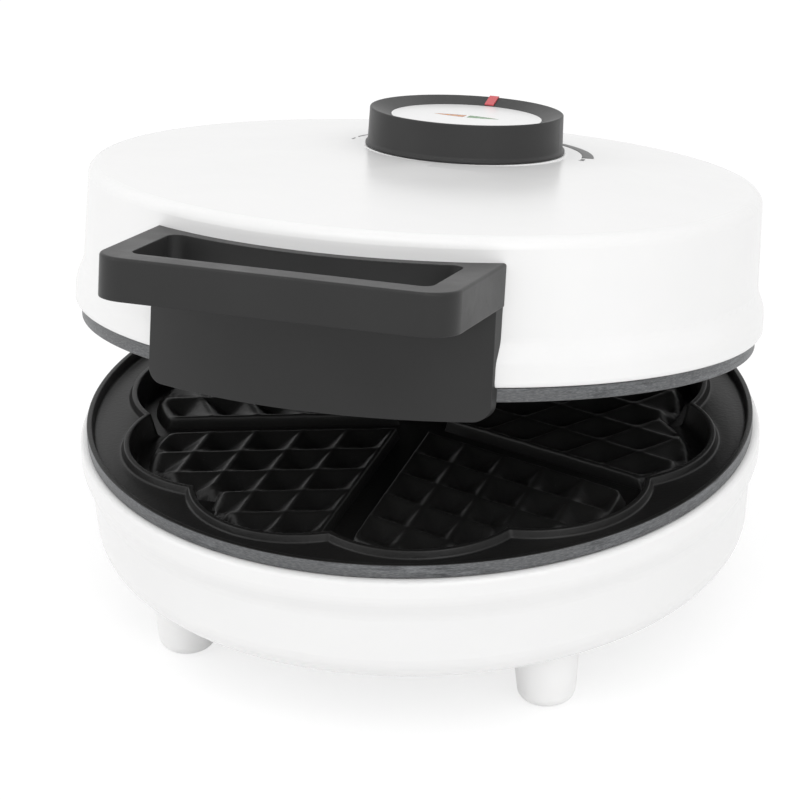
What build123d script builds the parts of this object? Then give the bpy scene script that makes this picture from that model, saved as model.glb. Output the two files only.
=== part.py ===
from build123d import *
import os
from math import asin, cos, degrees, radians, sin, sqrt, tan

# Heart waffle iron: two round housings hinged at the back, each with a cast plate of five hearts.
# Millimetres. X points right, Y to the hinge, Z up. The origin is on the surface that the feet
# stand on, below the centre of the plates. The lid's pieces are made with the lid shut and are
# turned about the hinge to LID_REST at the end.

# Baking plates
RIM_R = 104.0          # outer radius of a plate's rim
BAND = 4.2             # height of the rim band that shows between the housings
RIM_W = 1.6            # width of the rim's top face
RIM_EDGE = 0.4
RIM_FOOT = 0.8         # rounding where the rim's inner wall meets the land
LAND_DROP = 3.1        # drop from the rim to the overflow channel round the hearts
LAND_SLOPE = 0.8       # how much the rim's inner wall leans in
HEARTS = 5
LOBE_REACH = RIM_R - 9.0      # furthest reach of the lobed wall round the hearts, at its foot
LOBE_R = 0.3747 * LOBE_REACH  # radius of one lobe of the wall's foot
LOBE_DROP = 0.6        # drop from the rim to the top of the lobed wall
LOBE_LEAN = 0.8        # how much the lobed wall leans in on its outer side
LOBE_TOP = 1.6         # width of the lobed wall's top
HEART_DEPTH = 5.5      # depth of the hearts below the overflow channel
HEART_DRAFT = 1.6      # inward slope of the hearts' wall
FLOOR = 3.4            # metal below the hearts
CHANNEL = 10.0         # plain band between two hearts
MARGIN = 9.6           # from the lobed wall's foot to the ridges
RIDGE_PITCH = 13.7     # spacing of the ridges, which run along a heart's two straight sides
RIDGE_H = 4.0
RIDGE_TOP = 1.2        # width of a ridge's flat top
PIT_RISE = 0.3         # lowest point of the pyramid pits above the channel floor
WELL_WALL = 3.4        # metal round the hearts, seen from below
SPIGOT_R = RIM_R - 3.4 # collar that centres the plate in its housing
SPIGOT_H = 4.6
SNAP_OUT = 0.7         # bead on the collar that snaps in behind the housing's mouth
SEAM = 0.35            # open joint between the plate's band and the housing
CLOSED_GAP = 0.3       # space between the two rims when the lid is shut

# Heating elements
TUBE_R = 3.25
ELEMENT_R = RIM_R - 44.0      # radius of the tube's ring
ELEMENT_OPEN = 34.0    # angle left open between the tube's two ends
ELEMENT_BEND = 8.0     # radius of the bend at each end
ELEMENT_LEG = 4.0      # straight length after the bend
ELEMENT_SEAT_W = 20.0  # width of the cast ring that the tube lies in
TUBE_FIT = 0.1
PIN_R = 1.2
PIN_OUT = 7.0          # length of the connecting pin outside the tube
LEG_CLEAR = 1.5        # round the legs, and round the sensor, in the reflectors
CLAMP_T = 1.0
CLAMP_FIT = 0.3        # between the bent tube and a straight strap
CLAMP_W = 9.0
CLAMP_ANGLES = (45.0, 135.0, 270.0)
CLAMP_SCREW_OFF = 7.2  # from the tube's centre line to a clamp screw
CLAMP_SCREW_R = 1.2
CLAMP_SCREW_BITE = 4.5

# Plate bosses and reflectors
BOSS_R = 5.0
BOSS_PLACE_R = RIM_R - 24.0
BOSS_ANGLES = (30.0, 150.0, 270.0)
BOSS_H = 10.0
SHEET = 0.8
REFLECTOR_FLAT_R = BOSS_PLACE_R + 2 * BOSS_R
REFLECTOR_RIM_R = REFLECTOR_FLAT_R + 5.0
REFLECTOR_GAP = 0.4    # from the reflector's rim to the plate

# Screws
SCREW_R = 1.5
SCREW_HEAD = 2.0       # radius of a screw's head, in shank radii
SCREW_HEAD_TALL = 1.4  # height of the head, in shank radii
SCREW_FIT = 0.1        # radial clearance of a screw in its hole
SCREW_BITE = 6.0       # length of thread in the boss

# Housings
WALL = 2.6
BULGE = 2.2            # how far the housings' rim bead stands out past the plates
BULGE_H = 7.0
BULGE_STEP = 6.0       # height of the curve from the bead to the wall
BULGE_ROUND = 8.0
BEAD_ROUND = 1.6       # rounded edge of the bead next to the plate
INNER_ROUND = 4.0
MOUTH_FIT = 0.4        # clearance round the plate's collar
MOUTH_H = 3.0
LOWER_H = 37.4
LOWER_WALL_R = RIM_R - 0.5           # outer radius of the lower wall just below its bead
LOWER_BASE_R = LOWER_WALL_R - 1.7    # outer radius of the lower wall at the bottom
LOWER_CORNER = 10.0
BASE_WALL = 4.0
UPPER_H = 42.85
UPPER_WALL_R = RIM_R
UPPER_ROOF_R = UPPER_WALL_R - 0.7
UPPER_CORNER = 3.5
CROWN = 2.1            # rise of the roof from its edge to its middle
POST_R = 5.5
POST_LEDGE = 4.0       # plastic between a post's screw head and its top
COUNTERBORE_FIT = 0.4
LOCATING_ANGLES = (90.0, 210.0, 330.0)

# Feet
FOOT_H = 20.3
FOOT_R = 8.6
FOOT_TOP_R = 10.4
FOOT_ROUND = 4.0
FOOT_STUD_R = 3.2
FOOT_STUD_HEAD = 0.8
FOOT_STUD_FIT = 0.2
FOOT_STUD_GAP = 0.1
FOOT_PLACE_R = RIM_R - 21.5
FRONT_FOOT_ANGLE = -45.25
REAR_FOOT_ANGLE = 65.0

# Bottom cover
COVER_R = RIM_R - 34.0
COVER_T = 1.8
COVER_FIT = 0.3
COVER_LEDGE = 10.0
COVER_SCREWS = 4
COVER_SCREW_R = COVER_R - 5.0
COVER_BOSS_R = 4.0
COVER_BOSS_H = 5.0
VENTS = 12
VENT_W = 3.0
VENT_IN_R = 22.0
VENT_OUT_R = 42.0

# Hinge
HINGE_Y = RIM_R + 15.96
HINGE_Z = 70.65
BARREL_R = 9.5
EAR_T = 9.0
KNUCKLE_W = 47.2
KNUCKLE_GAP = 0.4
PIN_HINGE_R = 2.5
HINGE_FIT = 0.06
PIN_RECESS = 1.0
EAR_ANCHOR_IN = RIM_R - 18.0  # nearest the centre that the arms' feet reach, inside the walls
EAR_ANCHOR_OUT = RIM_R - 6.0
EAR_LIFT = 4.0
KNUCKLE_ANCHOR_OUT = RIM_R - 5.0
KNUCKLE_LIFT = 3.0
KNUCKLE_RISE = 24.0
LID_REST = 13.28       # how far the lid is open at rest, in degrees

# Handle
PANEL_W = 104.0
PANEL_R = RIM_R + 3.85        # outer radius of the handle's curved panel
PANEL_LOW = -4.8       # lower edge of the panel, from the upper plate's rim
PANEL_FLARE = 0.5      # how much wider each side of the panel is at the wall than at its face
PANEL_CORNER = 4.5
PANEL_REACH_IN = 8.0   # how far the panel's blank reaches into the wall before it is cut back
LOOP_W = 105.6
LOOP_FRONT = PANEL_R + 33.2   # from the lid's centre to the front of the grip
LOOP_TOP = 40.4        # from the upper plate's rim to the top of the grip
LOOP_H = 12.35
LOOP_CORNER = 10.0
GRIP_BAR = 8.5         # depth of the front bar
SIDE_BAR = 8.5
FINGER_CORNER = 3.5
LOOP_EDGE = 0.9        # rounding of the grip's upper outer edge
HANDLE_SEAT = 0.15
HANDLE_BOSS_R = 3.4
HANDLE_BOSS_ANGLES = (-18.0, 18.0)
HANDLE_BOSS_Z = (17.5, 34.0)
HANDLE_BOSS_FIT = 0.3
HANDLE_SCREW_L = 4.5
WASHER_R = 6.0
WASHER_T = 1.0
WASHER_SEAT = 0.25     # from the curved wall to the flat washer
PANEL_SKIN = 1.0       # the panel's face in front of a boss
PLATE_SIDE_GAP = 0.8   # from the panel to the plates' rims
HOUSING_SIDE_GAP = 0.6 # from the panel's lower lip to the lower housing

# Knob and dial
KNOB_Y = ELEMENT_R - 20.0
KNOB_R = 30.65
KNOB_H = 11.84
KNOB_FLARE = 0.95
KNOB_FLARE_H = 0.6
KNOB_FLARE_TOP = 1.35
KNOB_FLARE_CURVE = 0.8
KNOB_DRAFT = 0.25
KNOB_RIM = 0.6
KNOB_WALL = 2.0
KNOB_GAP = 0.3
DIAL_R = 23.8
DIAL_T = 1.5
DIAL_DROP = 2.1        # from the knob's rim down to the dial
DIAL_FIT = 0.15
WEB_T = 2.0
HUB_R = 6.0
HUB_CLEAR = 1.0
WINDOW_LONG = 22.0     # the two coloured windows together make one pointed oval
WINDOW_WIDE = 4.4
WINDOW_SPLIT = 1.0
WINDOW_FIT = 0.06
WINDOW_LEDGE = 0.7
POINTER_W = 3.0
POINTER_DEEP = 0.9
POINTER_PROUD = 0.4
POINTER_START = 0.6    # from the dial's edge to the pointer
POINTER_END = 0.0      # from the knob's outer face to the pointer's end
SEAT_PAD_R = 32.0

# Thermostat and lamps
SHAFT_R = 3.0
SHAFT_FIT = 0.05
SHAFT_FLAT = 0.8
SHAFT_IN_KNOB = 4.2
SHAFT_IN_BODY = 6.0
SHAFT_END = 0.3        # end play of the shaft in its two holes
SHAFT_ROUND_L = 2.0    # round part above the thermostat, before the flat
SHAFT_HOLE_FIT = 0.8
SENSOR_R = 9.0
SENSOR_GAP = 0.3
THERMOSTAT_R = 11.0
COLLAR_R = 14.0
COLLAR_H = 3.0
THERMOSTAT_H = 13.0
BRACKET_L = 50.0
BRACKET_W = 30.0
BRACKET_T = 1.0
BRACKET_SCREW = 19.0
NUT_R = 3.0
NUT_H = 2.2
TAB_W = 8.0
TAB_H = 6.0
LAMP_R = 2.3
LAMP_L = 7.0
LAMP_X = 8.0
LAMP_FIT = 0.1
HOLDER_R = 12.5
HOLDER_T = 4.0
HOLDER_PEG_R = 1.2
HOLDER_PEG_H = 1.5
HOLDER_PEG_Y = 9.0
HOLDER_BOSS = 1.8      # flat boss on the roof's inner face

# Mains entry
GLAND_Z = 37.5
GLAND_NECK_R = 5.0
GLAND_FLANGE_R = 7.2
GLAND_BORE_R = 3.6
GLAND_OUT = 2.6
GLAND_IN = 2.2
GLAND_FIT = 0.2
GLAND_SEAT = 0.15      # from the curved wall to the gland's two flanges
BLOCK_Y = RIM_R - 24.0
BLOCK_L = 30.0
BLOCK_W = 16.0
BLOCK_H = 11.0
BLOCK_WAYS = 3
BLOCK_LEDGE = 4.0
BLOCK_SCREW_BITE = 3.0
BLOCK_SCREWS = (-5.0, 5.0)
WAY_R = 1.9
WAY_DEEP = 6.0
FUSE_R = 2.2
FUSE_L = 14.0
FUSE_PLACE_R = ELEMENT_R / 2
FUSE_LEAD_R = 0.5
FUSE_CLIP_REACH = 9.0
FUSE_SCREW_OFF = 6.0
FUSE_SCREW_BITE = 2.2

# Heights worked out from the sizes above
LOWER_TOP = FOOT_H + LOWER_H
PARTING = LOWER_TOP + SEAM + BAND
LID_Z = PARTING + CLOSED_GAP
LID_LOW = LID_Z + BAND + SEAM
FLOOR_Z = -LAND_DROP - HEART_DEPTH
LOBE_H = LAND_DROP - LOBE_DROP
BACK_Z = FLOOR_Z - FLOOR
SHEET_Z = BACK_Z - BOSS_H
ROOF_Z = LID_LOW + UPPER_H
TOP_Z = ROOF_Z + CROWN
BEAD_R = RIM_R + BULGE
MOUTH_R = SPIGOT_R + MOUTH_FIT
HOLE_R = SCREW_R + SCREW_FIT
BASE_IN_Z = FOOT_H + BASE_WALL
TUBE_Z = BACK_Z - TUBE_R
HOLDER_SEAT_Z = TOP_Z - WALL - HOLDER_BOSS
KNOB_Z = TOP_Z + KNOB_GAP
THERMOSTAT_Z = LID_Z - SHEET_Z + SHEET + BRACKET_T
THERMOSTAT_TOP = THERMOSTAT_Z + THERMOSTAT_H
SENSOR_Z = LID_Z - BACK_Z + SENSOR_GAP


def polar(radius, angle, height=0.0):
    """Point at a radius and an angle in degrees from +X."""
    return Vector(radius * cos(radians(angle)), radius * sin(radians(angle)), height)


def turned(*corners):
    """Solid of revolution about Z: corners are (radius, height) or (radius, height, rounding)."""
    points = [(corner[0], 0, corner[1]) for corner in corners]
    rounds = [corner[2] if len(corner) > 2 else 0.0 for corner in corners]
    if any(rounds):
        outline = FilletPolyline(*points, radius=rounds, close=True)
    else:
        outline = Polyline(*points, close=True)
    return revolve(make_face(outline), axis=Axis.Z)


def upright(radius, low, high, x=0.0, y=0.0):
    """Cylinder along Z between two heights."""
    return Pos(x, y, low) * extrude(Circle(radius), amount=high - low)


def group(solids):
    """Separate solids that share one node."""
    return Compound([solid for part in solids for solid in part.solids()])


def screw(head_z, tip_z, radius):
    """Pan head screw along Z: the head lies beyond head_z, the thread runs to tip_z."""
    away = 1.0 if head_z > tip_z else -1.0
    head_r = SCREW_HEAD * radius
    tall = SCREW_HEAD_TALL * radius
    head_end = head_z + away * tall
    shank = upright(radius, min(head_z, tip_z), max(head_z, tip_z))
    head = upright(head_r, min(head_z, head_end), max(head_z, head_end))
    for turn in (0, 90):
        head -= Pos(0, 0, head_end) * Rot(0, 0, turn) * Box(1.2 * head_r, 0.3 * head_r, tall)
    return shank + head


# Baking plate, with its rim's top face at height 0 and the hearts facing up
def hearts_outline(inset=0.0):
    """Outline of the lobed wall round the five hearts: ten arcs that meet in cusps."""
    lobes = 2 * HEARTS
    half = 180.0 / lobes
    radius = LOBE_R - inset
    centre = LOBE_REACH - LOBE_R
    foot = centre * cos(radians(half))
    cusp = foot + sqrt(radius**2 - centre**2 + foot**2)
    arcs = []
    for lobe in range(lobes):
        middle = -90.0 + half * (2 * lobe + 1)
        start = polar(cusp, middle - half)
        crest = polar(centre + radius, middle)
        arcs.append(ThreePointArc(start, crest, polar(cusp, middle + half)))
    return make_face(arcs)


def ridge_family(side):
    """Ridges along one straight side of the heart that points along +X."""
    half = 180.0 / HEARTS
    first = (CHANNEL + RIDGE_TOP) / 2
    count = int(LOBE_REACH / RIDGE_PITCH)
    low = -FLOOR / 4
    profile = [(first - RIDGE_TOP / 2, low), (first - RIDGE_TOP / 2, RIDGE_H)]
    for ridge in range(count):
        middle = first + ridge * RIDGE_PITCH
        profile.append((middle + RIDGE_TOP / 2, RIDGE_H))
        profile.append((middle + RIDGE_PITCH / 2, PIT_RISE))
        profile.append((middle + RIDGE_PITCH - RIDGE_TOP / 2, RIDGE_H))
    profile.append((first + count * RIDGE_PITCH - RIDGE_TOP / 2, low))
    face = make_face(Polyline(*profile, close=True))
    along = Vector(cos(radians(half)), side * sin(radians(half)), 0)
    across = Vector(sin(radians(half)), -side * cos(radians(half)), 0)
    start = Plane(origin=-CHANNEL * along, x_dir=across, z_dir=-side * along)
    return extrude(start * face, amount=-side * (LOBE_REACH + 2 * CHANNEL))


def heart_ridges():
    """Pyramid pits between crossing ridges, cut to the shape of one heart that points along +X."""
    half = radians(180.0 / HEARTS)
    tip = CHANNEL / 2 / sin(half)
    far = 2 * LOBE_REACH
    side_y = far * tan(half)
    wedge = make_face(Polyline((tip, 0), (tip + far, side_y), (tip + far, -side_y), close=True))
    middle = 180.0 / HEARTS - 90.0
    outline = hearts_outline(MARGIN).rotate(Axis.Z, -middle)
    low = -FLOOR / 4
    cutter = Pos(0, 0, low) * extrude(outline & wedge, amount=RIDGE_H - low + 1.0)
    return (ridge_family(1) + ridge_family(-1)) & cutter


def element_path(height):
    """Centre line of the tube: an open ring with both ends bent away from the plate."""
    start = 90.0 + ELEMENT_OPEN / 2
    end = 450.0 - ELEMENT_OPEN / 2
    ring = ThreePointArc(polar(ELEMENT_R, start, height), polar(ELEMENT_R, 270, height),
                         polar(ELEMENT_R, end, height))
    edges = [ring]
    for angle, turn in ((start, -1), (end, 1)):
        root = polar(ELEMENT_R, angle, height)
        along = turn * Vector(-sin(radians(angle)), cos(radians(angle)), 0)
        down = Vector(0, 0, -1)
        knee = root + along * (ELEMENT_BEND * sin(radians(45)))
        knee = knee + down * (ELEMENT_BEND * (1 - cos(radians(45))))
        bent = root + along * ELEMENT_BEND + down * ELEMENT_BEND
        edges.append(ThreePointArc(root, knee, bent))
        edges.append(Line(bent, bent + down * ELEMENT_LEG))
    return edges


def swept_tube(edges, radius):
    """Round bar along edges that meet smoothly."""
    path = Wire([edge for curve in edges for edge in curve.edges()])
    section = Plane(origin=path.position_at(0), z_dir=path.tangent_at(0)) * Circle(radius)
    return sweep(section, path=path)


def element_ends():
    """Places of the element's two legs, level with the plate's rim."""
    ends = []
    for angle, turn in ((90.0 + ELEMENT_OPEN / 2, -1), (90.0 - ELEMENT_OPEN / 2, 1)):
        along = turn * Vector(-sin(radians(angle)), cos(radians(angle)), 0)
        ends.append(polar(ELEMENT_R, angle) + along * ELEMENT_BEND)
    return ends


def element_pins():
    """Connecting pins at the two ends of the element."""
    tip = TUBE_Z - ELEMENT_BEND - ELEMENT_LEG
    return group([upright(PIN_R, tip - PIN_OUT, tip, end.X, end.Y) for end in element_ends()])


def saddle(bore, seat, reach, width):
    """Strap over a round bar along Y, with its two feet on a seat above the bar's centre."""
    outer = bore + CLAMP_T
    side = Pos(0, seat / 2) * Rectangle(2 * outer, seat) if seat else Circle(bore)
    inner = Pos(0, seat / 2) * Rectangle(2 * bore, seat) if seat else Circle(bore)
    below = Pos(0, seat - outer) * Rectangle(4 * reach, 2 * outer)
    feet = Pos(0, seat - CLAMP_T / 2) * Rectangle(2 * reach, CLAMP_T)
    strap = ((Circle(outer) + side) & below) + feet - Circle(bore) - inner
    return extrude(Plane.XZ * strap, amount=width / 2, both=True)


def clamp_places():
    """Angle and radius of each clamp screw."""
    offsets = (-CLAMP_SCREW_OFF, CLAMP_SCREW_OFF)
    return [(angle, ELEMENT_R + off) for angle in CLAMP_ANGLES for off in offsets]


def element_clamps():
    """Straps that press the element's tube into the plate's cast seat."""
    strap = Pos(ELEMENT_R, 0, TUBE_Z) * saddle(TUBE_R + CLAMP_FIT, 0, ELEMENT_SEAT_W / 2, CLAMP_W)
    for off in (-CLAMP_SCREW_OFF, CLAMP_SCREW_OFF):
        strap -= upright(CLAMP_SCREW_R + SCREW_FIT, TUBE_Z - 2 * CLAMP_T, TUBE_Z + 1, ELEMENT_R + off)
    return group([strap.rotate(Axis.Z, angle) for angle in CLAMP_ANGLES])


def clamp_screws(with_fuse):
    """Screws that hold the straps to the plate, and the clip of the thermal cut-out."""
    one = screw(TUBE_Z - CLAMP_T, TUBE_Z + CLAMP_SCREW_BITE, CLAMP_SCREW_R)
    places = [polar(radius, angle) for angle, radius in clamp_places()]
    screws = [Pos(place.X, place.Y, 0) * one for place in places]
    if with_fuse:
        short = screw(BACK_Z - CLAMP_T, BACK_Z + FUSE_SCREW_BITE, CLAMP_SCREW_R)
        for side in (-1, 1):
            screws.append(Pos(0, -FUSE_PLACE_R + side * FUSE_SCREW_OFF, 0) * short)
    return group(screws)


def plate():
    """Cast plate: rim, overflow channel, lobed wall, hearts with pyramid pits, element's seat."""
    well_r = LOBE_REACH + WELL_WALL
    land_r = RIM_R - RIM_W - LAND_SLOPE
    collar_z = -BAND - SEAM - SPIGOT_H
    snap_z = -BAND - SEAM - MOUTH_H - SNAP_OUT / 2
    blank = turned((0, BACK_Z), (well_r, BACK_Z, 2.0), (well_r, collar_z), (SPIGOT_R, collar_z),
                   (SPIGOT_R + SNAP_OUT, snap_z - SNAP_OUT, 0.2), (SPIGOT_R, snap_z), (SPIGOT_R, -BAND),
                   (RIM_R, -BAND), (RIM_R, 0, RIM_EDGE), (RIM_R - RIM_W, 0, RIM_EDGE),
                   (land_r, -LAND_DROP, RIM_FOOT), (0, -LAND_DROP))
    foot = Pos(0, 0, -LAND_DROP - RIM_FOOT) * hearts_outline(-LOBE_LEAN * RIM_FOOT / LOBE_H)
    lobes = loft([foot, Pos(0, 0, -LOBE_DROP) * hearts_outline(LOBE_LEAN)], ruled=True)
    inner = LOBE_LEAN + LOBE_TOP
    brim = Pos(0, 0, -LOBE_DROP) * hearts_outline(inner)
    pocket = loft([brim, Pos(0, 0, FLOOR_Z) * hearts_outline(inner + HEART_DRAFT)], ruled=True)
    cast = blank + lobes - pocket
    heart = Pos(0, 0, FLOOR_Z) * heart_ridges()
    for index in range(HEARTS):
        cast += heart.rotate(Axis.Z, 180.0 / HEARTS - 90.0 + 360.0 / HEARTS * index)
    inside = ELEMENT_R - ELEMENT_SEAT_W / 2
    outside = ELEMENT_R + ELEMENT_SEAT_W / 2
    cast += turned((inside, TUBE_Z), (outside, TUBE_Z), (outside, BACK_Z + 1), (inside, BACK_Z + 1))
    cast -= Pos(0, 0, TUBE_Z) * Torus(ELEMENT_R, TUBE_R + TUBE_FIT)
    for angle in BOSS_ANGLES:
        place = polar(BOSS_PLACE_R, angle)
        cast += upright(BOSS_R, SHEET_Z, BACK_Z + 1, place.X, place.Y)
        cast -= upright(HOLE_R, SHEET_Z - 1, SHEET_Z + SCREW_BITE + 1, place.X, place.Y)
    for angle, radius in clamp_places():
        place = polar(radius, angle)
        deep = TUBE_Z + CLAMP_SCREW_BITE + SCREW_FIT
        cast -= upright(CLAMP_SCREW_R + SCREW_FIT, TUBE_Z - 1, deep, place.X, place.Y)
    for side in (-1, 1):
        deep = BACK_Z + FUSE_SCREW_BITE + SCREW_FIT
        y = -FUSE_PLACE_R + side * FUSE_SCREW_OFF
        cast -= upright(CLAMP_SCREW_R + SCREW_FIT, BACK_Z - 1, deep, 0, y)
    return cast


def reflector(thermostat):
    """Sheet dish that throws the element's heat back at the plate."""
    low = SHEET_Z - SHEET
    rim_z = BACK_Z - REFLECTOR_GAP
    dish = turned((0, low), (REFLECTOR_FLAT_R, low, 3.0), (REFLECTOR_RIM_R, rim_z),
                  (REFLECTOR_RIM_R - SHEET, rim_z), (REFLECTOR_FLAT_R - SHEET / 2, SHEET_Z, 2.2),
                  (0, SHEET_Z))
    for angle in BOSS_ANGLES:
        place = polar(BOSS_PLACE_R, angle)
        dish -= upright(HOLE_R, low - 1, SHEET_Z + 1, place.X, place.Y)
    for end in element_ends():
        dish -= upright(TUBE_R + LEG_CLEAR, low - 1, SHEET_Z + 1, end.X, end.Y)
    if thermostat:
        dish -= upright(SENSOR_R + LEG_CLEAR, low - 1, SHEET_Z + 1, 0, KNOB_Y)
        for side in (-1, 1):
            dish -= upright(HOLE_R, low - 1, SHEET_Z + 1, side * BRACKET_SCREW, KNOB_Y)
    return dish


# Lower housing and what stands on the floor
def lower_wall_r(height):
    """Outer radius of the lower wall between its bottom and its bead."""
    step = LOWER_TOP - BULGE_H - BULGE_STEP
    share = (height - FOOT_H) / (step - FOOT_H)
    return LOWER_BASE_R + share * (LOWER_WALL_R - LOWER_BASE_R)


def bracket_plate(anchor_in, anchor_out, low, high):
    """Outline across X of a hinge arm: a barrel drawn out to a foot inside the housing's wall."""
    barrel = Pos(HINGE_Y, HINGE_Z) * Circle(BARREL_R)
    foot = Pos((anchor_in + anchor_out) / 2, (low + high) / 2)
    foot = foot * Rectangle(anchor_out - anchor_in, high - low)
    return Plane.YZ * make_hull(barrel.edges() + foot.edges())


def across_hinge(radius, x_from, x_to):
    """Cylinder on the hinge's axis."""
    return extrude(Plane(origin=(x_from, HINGE_Y, HINGE_Z), z_dir=(1, 0, 0)) * Circle(radius),
                   amount=x_to - x_from)


def lower_housing():
    """Bowl with a rolled bead, two hinge ears, screw posts and an opening for the bottom cover."""
    top = LOWER_TOP
    bead = top - BULGE_H
    step = bead - BULGE_STEP
    bowl = turned((0, FOOT_H), (LOWER_BASE_R, FOOT_H, LOWER_CORNER), (LOWER_WALL_R, step, BULGE_ROUND),
                  (BEAD_R, bead, BULGE_ROUND), (BEAD_R, top, BEAD_ROUND), (0, top))
    inner_bead = BEAD_R - WALL
    cavity = turned((0, BASE_IN_Z), (LOWER_BASE_R - WALL, BASE_IN_Z, LOWER_CORNER - WALL),
                    (LOWER_WALL_R - WALL, step, INNER_ROUND), (inner_bead, bead, INNER_ROUND),
                    (inner_bead, top - MOUTH_H - (inner_bead - MOUTH_R)), (MOUTH_R, top - MOUTH_H),
                    (MOUTH_R, top + 1), (0, top + 1))
    ear = bracket_plate(EAR_ANCHOR_IN, EAR_ANCHOR_OUT, FOOT_H + LOWER_CORNER + EAR_LIFT, top - EAR_LIFT)
    inside_x = KNUCKLE_W / 2 + KNUCKLE_GAP
    for side in (-1, 1):
        bowl += Pos(side * (inside_x + EAR_T / 2), 0, 0) * extrude(ear, amount=EAR_T / 2, both=True)
    bowl -= cavity
    bowl -= upright(RIM_R + PLATE_SIDE_GAP, top, PARTING)
    bowl -= upright(BEAD_R + HOUSING_SIDE_GAP, PARTING - 0.1, ROOF_Z)
    bowl -= across_hinge(PIN_HINGE_R + HINGE_FIT, -2 * KNUCKLE_W, 2 * KNUCKLE_W)
    for angle in BOSS_ANGLES:
        place = polar(BOSS_PLACE_R, angle)
        post_top = PARTING + SHEET_Z - SHEET
        bowl += upright(POST_R, BASE_IN_Z - 1, post_top, place.X, place.Y)
        bowl -= upright(HOLE_R, FOOT_H - 1, post_top + 1, place.X, place.Y)
        head_r = SCREW_HEAD * SCREW_R + COUNTERBORE_FIT
        bowl -= upright(head_r, FOOT_H - 1, post_top - POST_LEDGE, place.X, place.Y)
    bowl -= upright(COVER_R - COVER_LEDGE, FOOT_H - 1, BASE_IN_Z + 1)
    for angle in cover_screw_angles():
        place = polar(COVER_SCREW_R, angle)
        bowl += upright(COVER_BOSS_R, BASE_IN_Z - 1, BASE_IN_Z + COVER_BOSS_H, place.X, place.Y)
        bowl -= upright(HOLE_R, FOOT_H, BASE_IN_Z + COVER_BOSS_H - 1, place.X, place.Y)
    bowl -= upright(COVER_R + COVER_FIT, FOOT_H - 1, FOOT_H + COVER_T)
    for x, y in foot_places():
        bowl -= upright(FOOT_STUD_R + FOOT_STUD_FIT, FOOT_H - 1, BASE_IN_Z + 1, x, y)
    bowl -= gland_place() * upright(GLAND_NECK_R + GLAND_FIT, -3 * WALL, 3 * WALL)
    for x in BLOCK_SCREWS:
        bowl -= upright(HOLE_R, BASE_IN_Z - BLOCK_SCREW_BITE, BASE_IN_Z + 1, x, BLOCK_Y)
    return bowl


def cover_screw_angles():
    """Angles of the bottom cover's screws."""
    return [360.0 / COVER_SCREWS * index for index in range(COVER_SCREWS)]


def foot_places():
    """Centres of the four feet: front left, front right, rear left, rear right."""
    front = polar(FOOT_PLACE_R, FRONT_FOOT_ANGLE)
    rear = polar(FOOT_PLACE_R, REAR_FOOT_ANGLE)
    return [(side * place.X, place.Y) for place in (front, rear) for side in (-1, 1)]


def foot():
    """Tapered foot with a stud that snaps through the housing's floor."""
    head_z = BASE_IN_Z + FOOT_STUD_GAP
    cone = turned((0, 0), (FOOT_R, 0, FOOT_ROUND), (FOOT_TOP_R, FOOT_H), (0, FOOT_H))
    stud = turned((0, FOOT_H - 1), (FOOT_STUD_R, FOOT_H - 1), (FOOT_STUD_R, head_z),
                  (FOOT_STUD_R + FOOT_STUD_HEAD, head_z), (FOOT_STUD_R - FOOT_STUD_HEAD, head_z + 2),
                  (0, head_z + 2))
    return cone + stud


def bottom_cover():
    """Round cover in the floor, with a ring of vents."""
    cover = upright(COVER_R, FOOT_H, FOOT_H + COVER_T)
    slot = SlotCenterToCenter(VENT_OUT_R - VENT_IN_R, VENT_W)
    vent = Pos((VENT_OUT_R + VENT_IN_R) / 2, 0, FOOT_H - 1) * extrude(slot, amount=COVER_T + 2)
    for index in range(VENTS):
        cover -= vent.rotate(Axis.Z, 360.0 / VENTS * (index + 0.5))
    for angle in cover_screw_angles():
        place = polar(COVER_SCREW_R, angle)
        cover -= upright(HOLE_R, FOOT_H - 1, FOOT_H + COVER_T + 1, place.X, place.Y)
    return cover


def cover_screws():
    """Screws of the bottom cover."""
    one = screw(FOOT_H, BASE_IN_Z + COVER_BOSS_H - 2, SCREW_R)
    places = [polar(COVER_SCREW_R, angle) for angle in cover_screw_angles()]
    return group([Pos(place.X, place.Y, 0) * one for place in places])


def plate_screws(head_z):
    """Screws into the plate's bosses, with their heads at a height below the plate's rim."""
    one = screw(head_z, SHEET_Z + SCREW_BITE, SCREW_R)
    places = [polar(BOSS_PLACE_R, angle) for angle in BOSS_ANGLES]
    return group([Pos(place.X, place.Y, 0) * one for place in places])


def gland_place():
    """Place on the rear wall with Z pointing out of it, square to the leaning wall."""
    lean = degrees(asin((lower_wall_r(GLAND_Z + 1) - lower_wall_r(GLAND_Z))))
    return Pos(0, lower_wall_r(GLAND_Z), GLAND_Z) * Rot(-90 - lean, 0, 0)


def cord_gland():
    """Grommet in the rear wall where the mains lead goes in."""
    thick = WALL + 3 * GLAND_SEAT
    ring = turned((GLAND_BORE_R, -GLAND_IN - thick), (GLAND_FLANGE_R - 1, -GLAND_IN - thick, 0.5),
                  (GLAND_FLANGE_R - 1, -thick), (GLAND_NECK_R, -thick), (GLAND_NECK_R, 0),
                  (GLAND_FLANGE_R, 0), (GLAND_FLANGE_R, GLAND_OUT, 1.0), (GLAND_BORE_R, GLAND_OUT))
    return gland_place() * Pos(0, 0, GLAND_SEAT) * ring


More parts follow.
